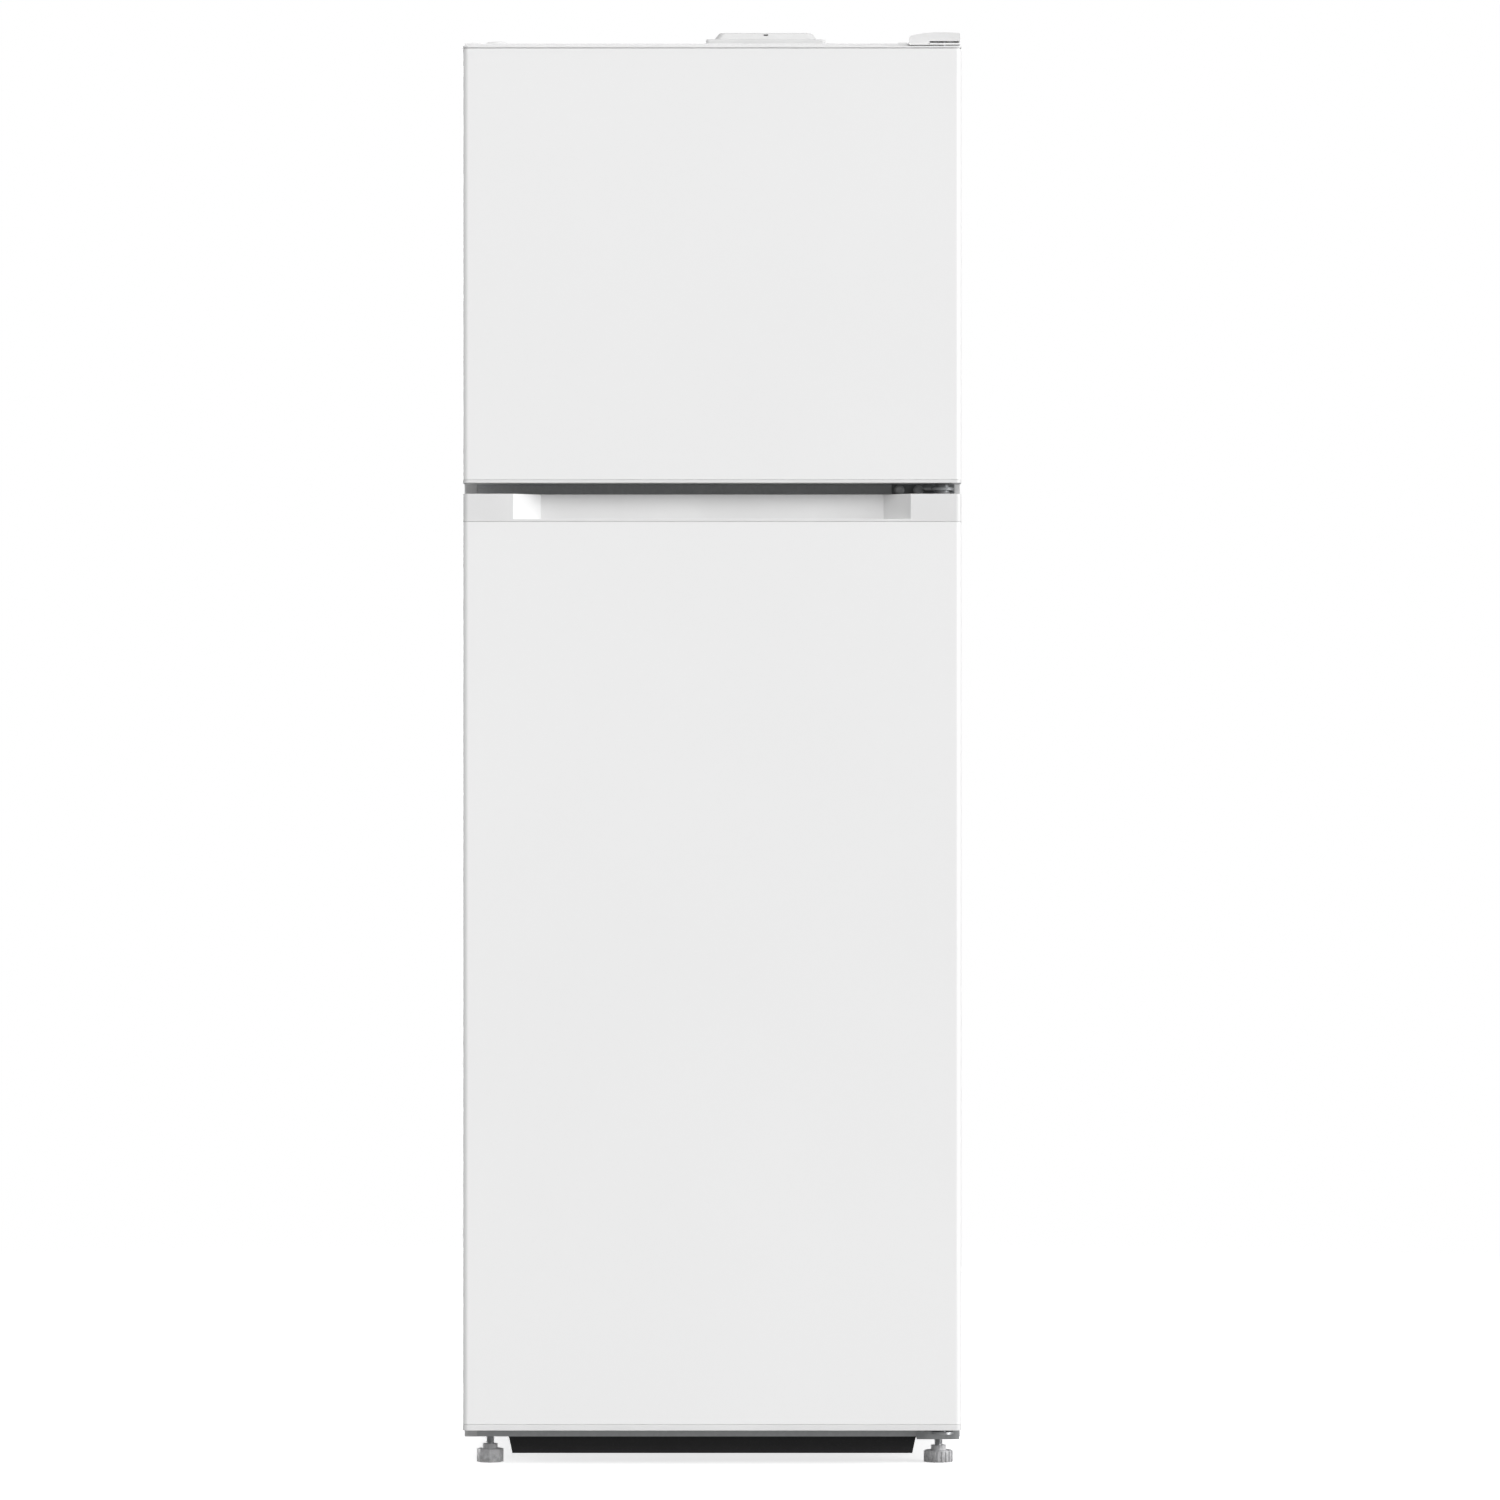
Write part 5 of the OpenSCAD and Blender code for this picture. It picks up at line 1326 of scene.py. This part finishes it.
def screw_places(source):
    """Each screw's seat, the axis it stands along and which way, read from the loose shapes of the node."""
    places = []
    left = set(source.verts)
    while left:
        heap = [left.pop()]
        group = list(heap)
        while heap:
            for edge in heap.pop().link_edges:
                for vert in edge.verts:
                    if vert in left:
                        left.remove(vert)
                        heap.append(vert)
                        group.append(vert)
        low = Vector([min(v.co[i] for v in group) for i in range(3)])
        high = Vector([max(v.co[i] for v in group) for i in range(3)])
        size = high - low
        axis = min(range(3), key=lambda i: size[i])
        centre = (low + high) / 2
        at_low = max((v.co - centre).length for v in at(group, axis, low[axis]))
        at_high = max((v.co - centre).length for v in at(group, axis, high[axis]))
        sign = 1 if at_high > at_low else -1
        seat = high[axis] - 3.5 * MM if sign > 0 else low[axis] + 3.5 * MM
        centre[axis] = seat
        places.append((centre, "xyz"[axis], sign))
    return places


class Feet(bpy.types.Operator):
    """Cuts the feet's threads and finishes their bases and the rear rollers."""

    bl_idname = "fridge.feet"
    bl_label = "Feet and rollers"

    def execute(self, context):
        for side in ("left", "right"):
            self.stud(side, context.scene.fridge_sizes.thread_pitch)
        refined("left_foot_base", 0.9 * MM, 3)
        refined("right_foot_base", 0.4 * MM, 2)
        refined("rear_roller_left", 0.5 * MM, 2)
        refined("rear_roller_right", 0.5 * MM, 2)
        return {"FINISHED"}

    def stud(self, side, pitch):
        """A stud with a helical thread: one tooth of the thread spun upwards."""
        node = f"{side}_foot_stud"
        x0, x1, y0, y1, z0, z1 = span(node)
        crest = (x1 - x0) / 2
        root = crest - 0.6 * pitch
        start = span(f"{side}_foot_base")[5] + 0.3 * MM
        turns = int((z1 - start) / pitch) - 1
        steps = 20
        bm = bmesh.new()
        tooth = [(root, 0.0), (root, 0.12 * pitch), (crest, 0.44 * pitch), (crest, 0.56 * pitch),
                 (root, 0.88 * pitch), (root, pitch)]
        verts = [bm.verts.new((r, 0, h)) for r, h in tooth]
        edges = [bm.edges.new(pair) for pair in zip(verts, verts[1:])]
        bmesh.ops.spin(bm, geom=verts + edges, cent=(0, 0, 0), axis=(0, 0, 1),
                       dvec=(0, 0, pitch / steps), angle=2 * math.pi * turns, steps=turns * steps)
        bmesh.ops.remove_doubles(bm, verts=bm.verts, dist=0.02 * MM)
        bmesh.ops.holes_fill(bm, edges=[e for e in bm.edges if len(e.link_faces) == 1], sides=0)
        bmesh.ops.triangulate(bm, faces=[f for f in bm.faces if len(f.verts) > 4])
        x, y = (x0 + x1) / 2, (y0 + y1) / 2
        bmesh.ops.translate(bm, verts=bm.verts, vec=(x, y, start))
        rod(bm, (x, y, z0 + 0.2 * MM), (x, y, z1), root + 0.05 * MM)
        piece(f"{side}_foot_thread", bm, node, "zinc_fitting", node, smooth=20)


class Machine(bpy.types.Operator):
    """Finishes what stands in the machine compartment."""

    bl_idname = "fridge.machine"
    bl_label = "Machine compartment"

    def execute(self, context):
        refined("base_plate", 0.3 * MM, 2)
        refined("machine_cover", 0.3 * MM, 2)
        refined("cord_inlet", 0.5 * MM, 2)
        self.cover_screws()
        self.compressor()
        self.mounts()
        self.condenser()
        x0, x1, y0, y1, z0, z1 = span("drip_tray")
        bm = bmesh.new()
        open_bin(bm, x0, x1, y0, y1, z0, z1, 2.2 * MM, 12 * MM)
        piece("drip_tray_moulded", bm, CABINET, "white_trim", "drip_tray")
        return {"FINISHED"}

    def cover_screws(self):
        """The cover's screws, and the returns folded behind its two sides."""
        x0, x1, y0, _, z0, z1 = span("machine_cover")
        face = span("back_panel")[3]
        bm = bmesh.new()
        for x in (x0 + 9 * MM, -0.1, 0.1, x1 - 9 * MM):
            for z in (z0 + 9 * MM, z1 - 9 * MM):
                screw_head(bm, (x, face, z), "y", 4.2 * MM, 2.2 * MM)
        piece("machine_cover_screws", bm, CABINET, "zinc_fitting")
        inner = span("back_panel")[1] - 0.5 * MM
        bm = bmesh.new()
        mirrored_blocks(bm, x1 - 2 * MM, inner, y0 - 1.3 * MM, y0 - 0.3 * MM, z0, z1, radius=0.3 * MM)
        piece("machine_cover_returns", bm, CABINET, "galvanised_steel")

    def compressor(self):
        """A domed can in two halves with a welded seam, on a plate with rounded edges."""
        x0, _, _, y1, z0, z1 = span("compressor")
        feet = span("compressor_mounts")
        centre = Vector(((feet[0] + feet[1]) / 2, (feet[2] + feet[3]) / 2, 0))
        radius = min(y1 - centre.y, centre.x - x0 - 32 * MM)
        dome = (z1 - z0 - 66 * MM) / 2
        low, high = z0 + dome, z1 - dome
        seam = low + 0.6 * (high - low)
        bend = 16 * MM
        wall = [(0, z0), (radius - bend, z0 + 0.35 * dome)]
        wall += arc((radius - bend, low + 0.2 * dome), bend, 300, 360, 5)
        wall += [(radius, seam - 1.2 * MM), (radius + 2 * MM, seam), (radius + 2 * MM, seam + 3 * MM),
                 (radius, seam + 4.2 * MM)]
        wall += arc((radius - bend, high - 0.2 * dome), bend, 0, 60, 5)
        wall += [(radius * 0.5, z1 - 0.12 * dome), (0, z1)]
        bm = bmesh.new()
        turned(bm, wall, (centre.x, centre.y, 0), "z", 64)
        plate = feet[5] - 7 * MM
        block(bm, feet[0], feet[1], feet[2], feet[3], plate, plate + 3 * MM, 1.2 * MM, 9 * MM)
        block(bm, x0, centre.x - radius + 5 * MM, centre.y - 26 * MM, centre.y + 26 * MM, low + 4 * MM,
              high - 2 * MM, 3 * MM)
        piece("compressor_can", bm, CABINET, "compressor_enamel", "compressor")

    def mounts(self):
        """Grooved rubber mounts."""
        x0, x1, y0, y1, z0, z1 = span("compressor_mounts")
        radius = 10 * MM
        tall = z1 - z0 - 7 * MM
        groove = [(0, 0), (radius, 0)]
        for i in range(3):
            level = tall * (i + 0.5) / 3
            groove += [(radius, level - 2 * MM), (radius - 1.6 * MM, level), (radius, level + 2 * MM)]
        groove += [(radius, tall), (radius - 4 * MM, tall), (radius - 4 * MM, tall + 3 * MM),
                   (radius - 2 * MM, tall + 3 * MM), (radius - 3 * MM, z1 - z0), (0, z1 - z0)]
        bm = bmesh.new()
        for x in (x0 + radius, x1 - radius):
            for y in (y0 + radius, y1 - radius):
                turned(bm, groove, (x, y, z0))
        piece("rubber_mounts_grooved", bm, CABINET, "rubber_mount", "compressor_mounts")

    def condenser(self):
        """Four serpentine rows of tube held by two plates, with wires across each row."""
        x0, x1, y0, y1, z0, z1 = span("condenser_coil")
        tube = 2.4 * MM
        rows, passes, pitch = 4, 6, 24 * MM
        bend = pitch / 2
        first = y0 + 6 * MM
        row_pitch = (y1 - y0 - 12 * MM) / (rows - 1)
        low = z0 + 12 * MM
        bm = bmesh.new()
        for row in range(rows):
            y = first + row * row_pitch
            points = [(x0 + tube, y, low)]
            for i in range(passes - 1):
                level = low + (i + 0.5) * pitch
                end = x1 - tube - bend if i % 2 == 0 else x0 + tube + bend
                turn = (270, 450) if i % 2 == 0 else (270, 90)
                points += [(a, y, b) for a, b in arc((end, level), bend, *turn, 8)]
            points += [(x0 + tube, y, low + (passes - 1) * pitch)]
            pipe(bm, points, tube, 2)
            wires = 26
            for i in range(wires):
                x = x0 + 22 * MM + i * (x1 - x0 - 44 * MM) / (wires - 1)
                rod(bm, (x, y - tube - 0.6 * MM, low - 3 * MM),
                    (x, y - tube - 0.6 * MM, low + (passes - 1) * pitch + 3 * MM), 0.7 * MM, 6)
        for x in (x0 + 32 * MM, x1 - 32 * MM):
            block(bm, x - 0.8 * MM, x + 0.8 * MM, y0, y1, z0, z1, 0.3 * MM)
        piece("condenser_serpentine", bm, CABINET, "coil_enamel", "condenser_coil")


class CadFinishes(bpy.types.Operator):
    """Gives every CAD node that still shows the material of its slot."""

    bl_idname = "fridge.cad_finishes"
    bl_label = "Finishes of plain parts"

    def execute(self, context):
        for node, thing in frame["nodes"].items():
            thing.data.materials.clear()
            thing.data.materials.append(material(slot_of(node)))
        return {"FINISHED"}


class Stage(bpy.types.Operator):
    """Sets the floor, the soft lights and the camera."""

    bl_idname = "fridge.stage"
    bl_label = "Stage"

    def execute(self, context):
        stage = context.scene.fridge_stage
        self.floor(stage)
        self.lights(context.scene, stage)
        self.camera(context.scene, stage)
        context.scene.view_settings.view_transform = "Standard"
        return {"FINISHED"}

    def floor(self, stage):
        """A pale round floor that fades out at its rim."""
        bm = bmesh.new()
        bmesh.ops.create_circle(bm, cap_ends=True, segments=96, radius=stage.floor_radius)
        mesh = bpy.data.meshes.new("studio_floor")
        bm.to_mesh(mesh)
        bm.free()
        graph = Graph("studio_floor")
        spot = graph.node("ShaderNodeTexCoord", output="Object")
        far = graph.node("ShaderNodeVectorMath", {"operation": "LENGTH"}, {0: spot}, output="Value")
        rim = stage.floor_radius
        pale = graph.tint(graph.noise(6, 4.0), (0.93, 0.93, 0.93), (0.96, 0.96, 0.96))
        graph.shade(Base_Color=pale, Emission_Color=pale, Emission_Strength=0.7,
                    Roughness=graph.between(graph.noise(9, 3.0), 0.3, 0.7, 0.8, 0.95),
                    Alpha=graph.between(far, rim * 0.4, rim * 0.98, 1.0, 0.0))
        mesh.materials.append(graph.material)
        floor = bpy.data.objects.new("studio_floor", mesh)
        floor.visible_diffuse = False
        floor.visible_glossy = False
        bpy.context.scene.collection.objects.link(floor)

    def lights(self, scene, stage):
        """Broad soft lights, each with its azimuth, height and width in degrees, and the room."""
        for name, strength, azimuth, height, soft in (
                ("key_light", stage.key, 72, 12, 40), ("front_fill", stage.fill, 8, 36, 40),
                ("back_light", stage.back, 215, 6, 30)):
            lamp = bpy.data.lights.new(name, "SUN")
            lamp.energy = strength
            lamp.angle = math.radians(soft)
            thing = bpy.data.objects.new(name, lamp)
            turn, rise = math.radians(azimuth), math.radians(height)
            away = Vector((math.sin(turn) * math.cos(rise), -math.cos(turn) * math.cos(rise), math.sin(rise)))
            thing.location = away * 6
            thing.rotation_euler = away.to_track_quat("Z", "Y").to_euler()
            scene.collection.objects.link(thing)
        self.room(scene, stage.ambient)

    def room(self, scene, ambient):
        """A plain room: paler above than below, and white where the camera looks past the part."""
        world = bpy.data.worlds.new("studio")
        scene.world = world
        world.use_nodes = True
        nodes, links = world.node_tree.nodes, world.node_tree.links
        towards = nodes.new("ShaderNodeTexCoord")
        split = nodes.new("ShaderNodeSeparateXYZ")
        rise = nodes.new("ShaderNodeMapRange")
        rise.interpolation_type = "SMOOTHSTEP"
        for socket, value in zip(rise.inputs[1:5], (-0.4, 0.8, ambient * 0.8, ambient * 1.3)):
            socket.default_value = value
        light = nodes["Background"]
        seen = nodes.new("ShaderNodeBackground")
        seen.inputs["Color"].default_value = (1, 1, 1, 1)
        light.inputs["Color"].default_value = (1, 1, 1, 1)
        path = nodes.new("ShaderNodeLightPath")
        mix = nodes.new("ShaderNodeMixShader")
        links.new(towards.outputs["Generated"], split.inputs[0])
        links.new(split.outputs["Z"], rise.inputs[0])
        links.new(rise.outputs[0], light.inputs["Strength"])
        links.new(path.outputs["Is Camera Ray"], mix.inputs[0])
        links.new(light.outputs[0], mix.inputs[1])
        links.new(seen.outputs[0], mix.inputs[2])
        links.new(mix.outputs[0], nodes["World Output"].inputs["Surface"])

    def camera(self, scene, stage):
        view = bpy.data.cameras.new("studio_camera")
        view.lens = stage.lens
        view.sensor_width = 36
        view.clip_end = 100
        camera = bpy.data.objects.new("studio_camera", view)
        camera.location = (stage.camera_side, CAD_BOX[0].y - stage.camera_reach, stage.camera_height)
        camera.rotation_euler = (math.radians(90), 0, 0)
        scene.collection.objects.link(camera)
        scene.camera = camera


OPERATORS = (Stage, CadFinishes, DoorSkins, DoorCaps, DoorLiners, Gaskets, DoorBins, Cabinet, Liners, Shelves,
             Crisper, IceMaker, Ducts, TopCovers, Hinges, Feet, Machine)
GROUPS = {"fridge_colours": FridgeColours, "fridge_sizes": FridgeSizes, "fridge_stage": FridgeStage}


class FridgePanel(bpy.types.Panel):
    """Lists the sizes, the colours and the steps that build the refrigerator."""

    bl_idname = "VIEW3D_PT_fridge"
    bl_label = "Refrigerator"
    bl_space_type = "VIEW_3D"
    bl_region_type = "UI"
    bl_category = "Fridge"

    def draw(self, context):
        for name, group in GROUPS.items():
            box = self.layout.box()
            for key in group.__annotations__:
                box.prop(getattr(context.scene, name), key)
        for operator in OPERATORS:
            self.layout.operator(operator.bl_idname)


def register():
    for made in (*GROUPS.values(), *OPERATORS, FridgePanel):
        bpy.utils.register_class(made)
    for name, group in GROUPS.items():
        setattr(bpy.types.Scene, name, PointerProperty(type=group))


def unregister():
    for name in GROUPS:
        delattr(bpy.types.Scene, name)
    for made in reversed((*GROUPS.values(), *OPERATORS, FridgePanel)):
        bpy.utils.unregister_class(made)


def main():
    """Builds every piece."""
    register()
    for operator in OPERATORS:
        getattr(bpy.ops.fridge, operator.bl_idname.split(".")[1])()


if __name__ == "__main__":
    main()
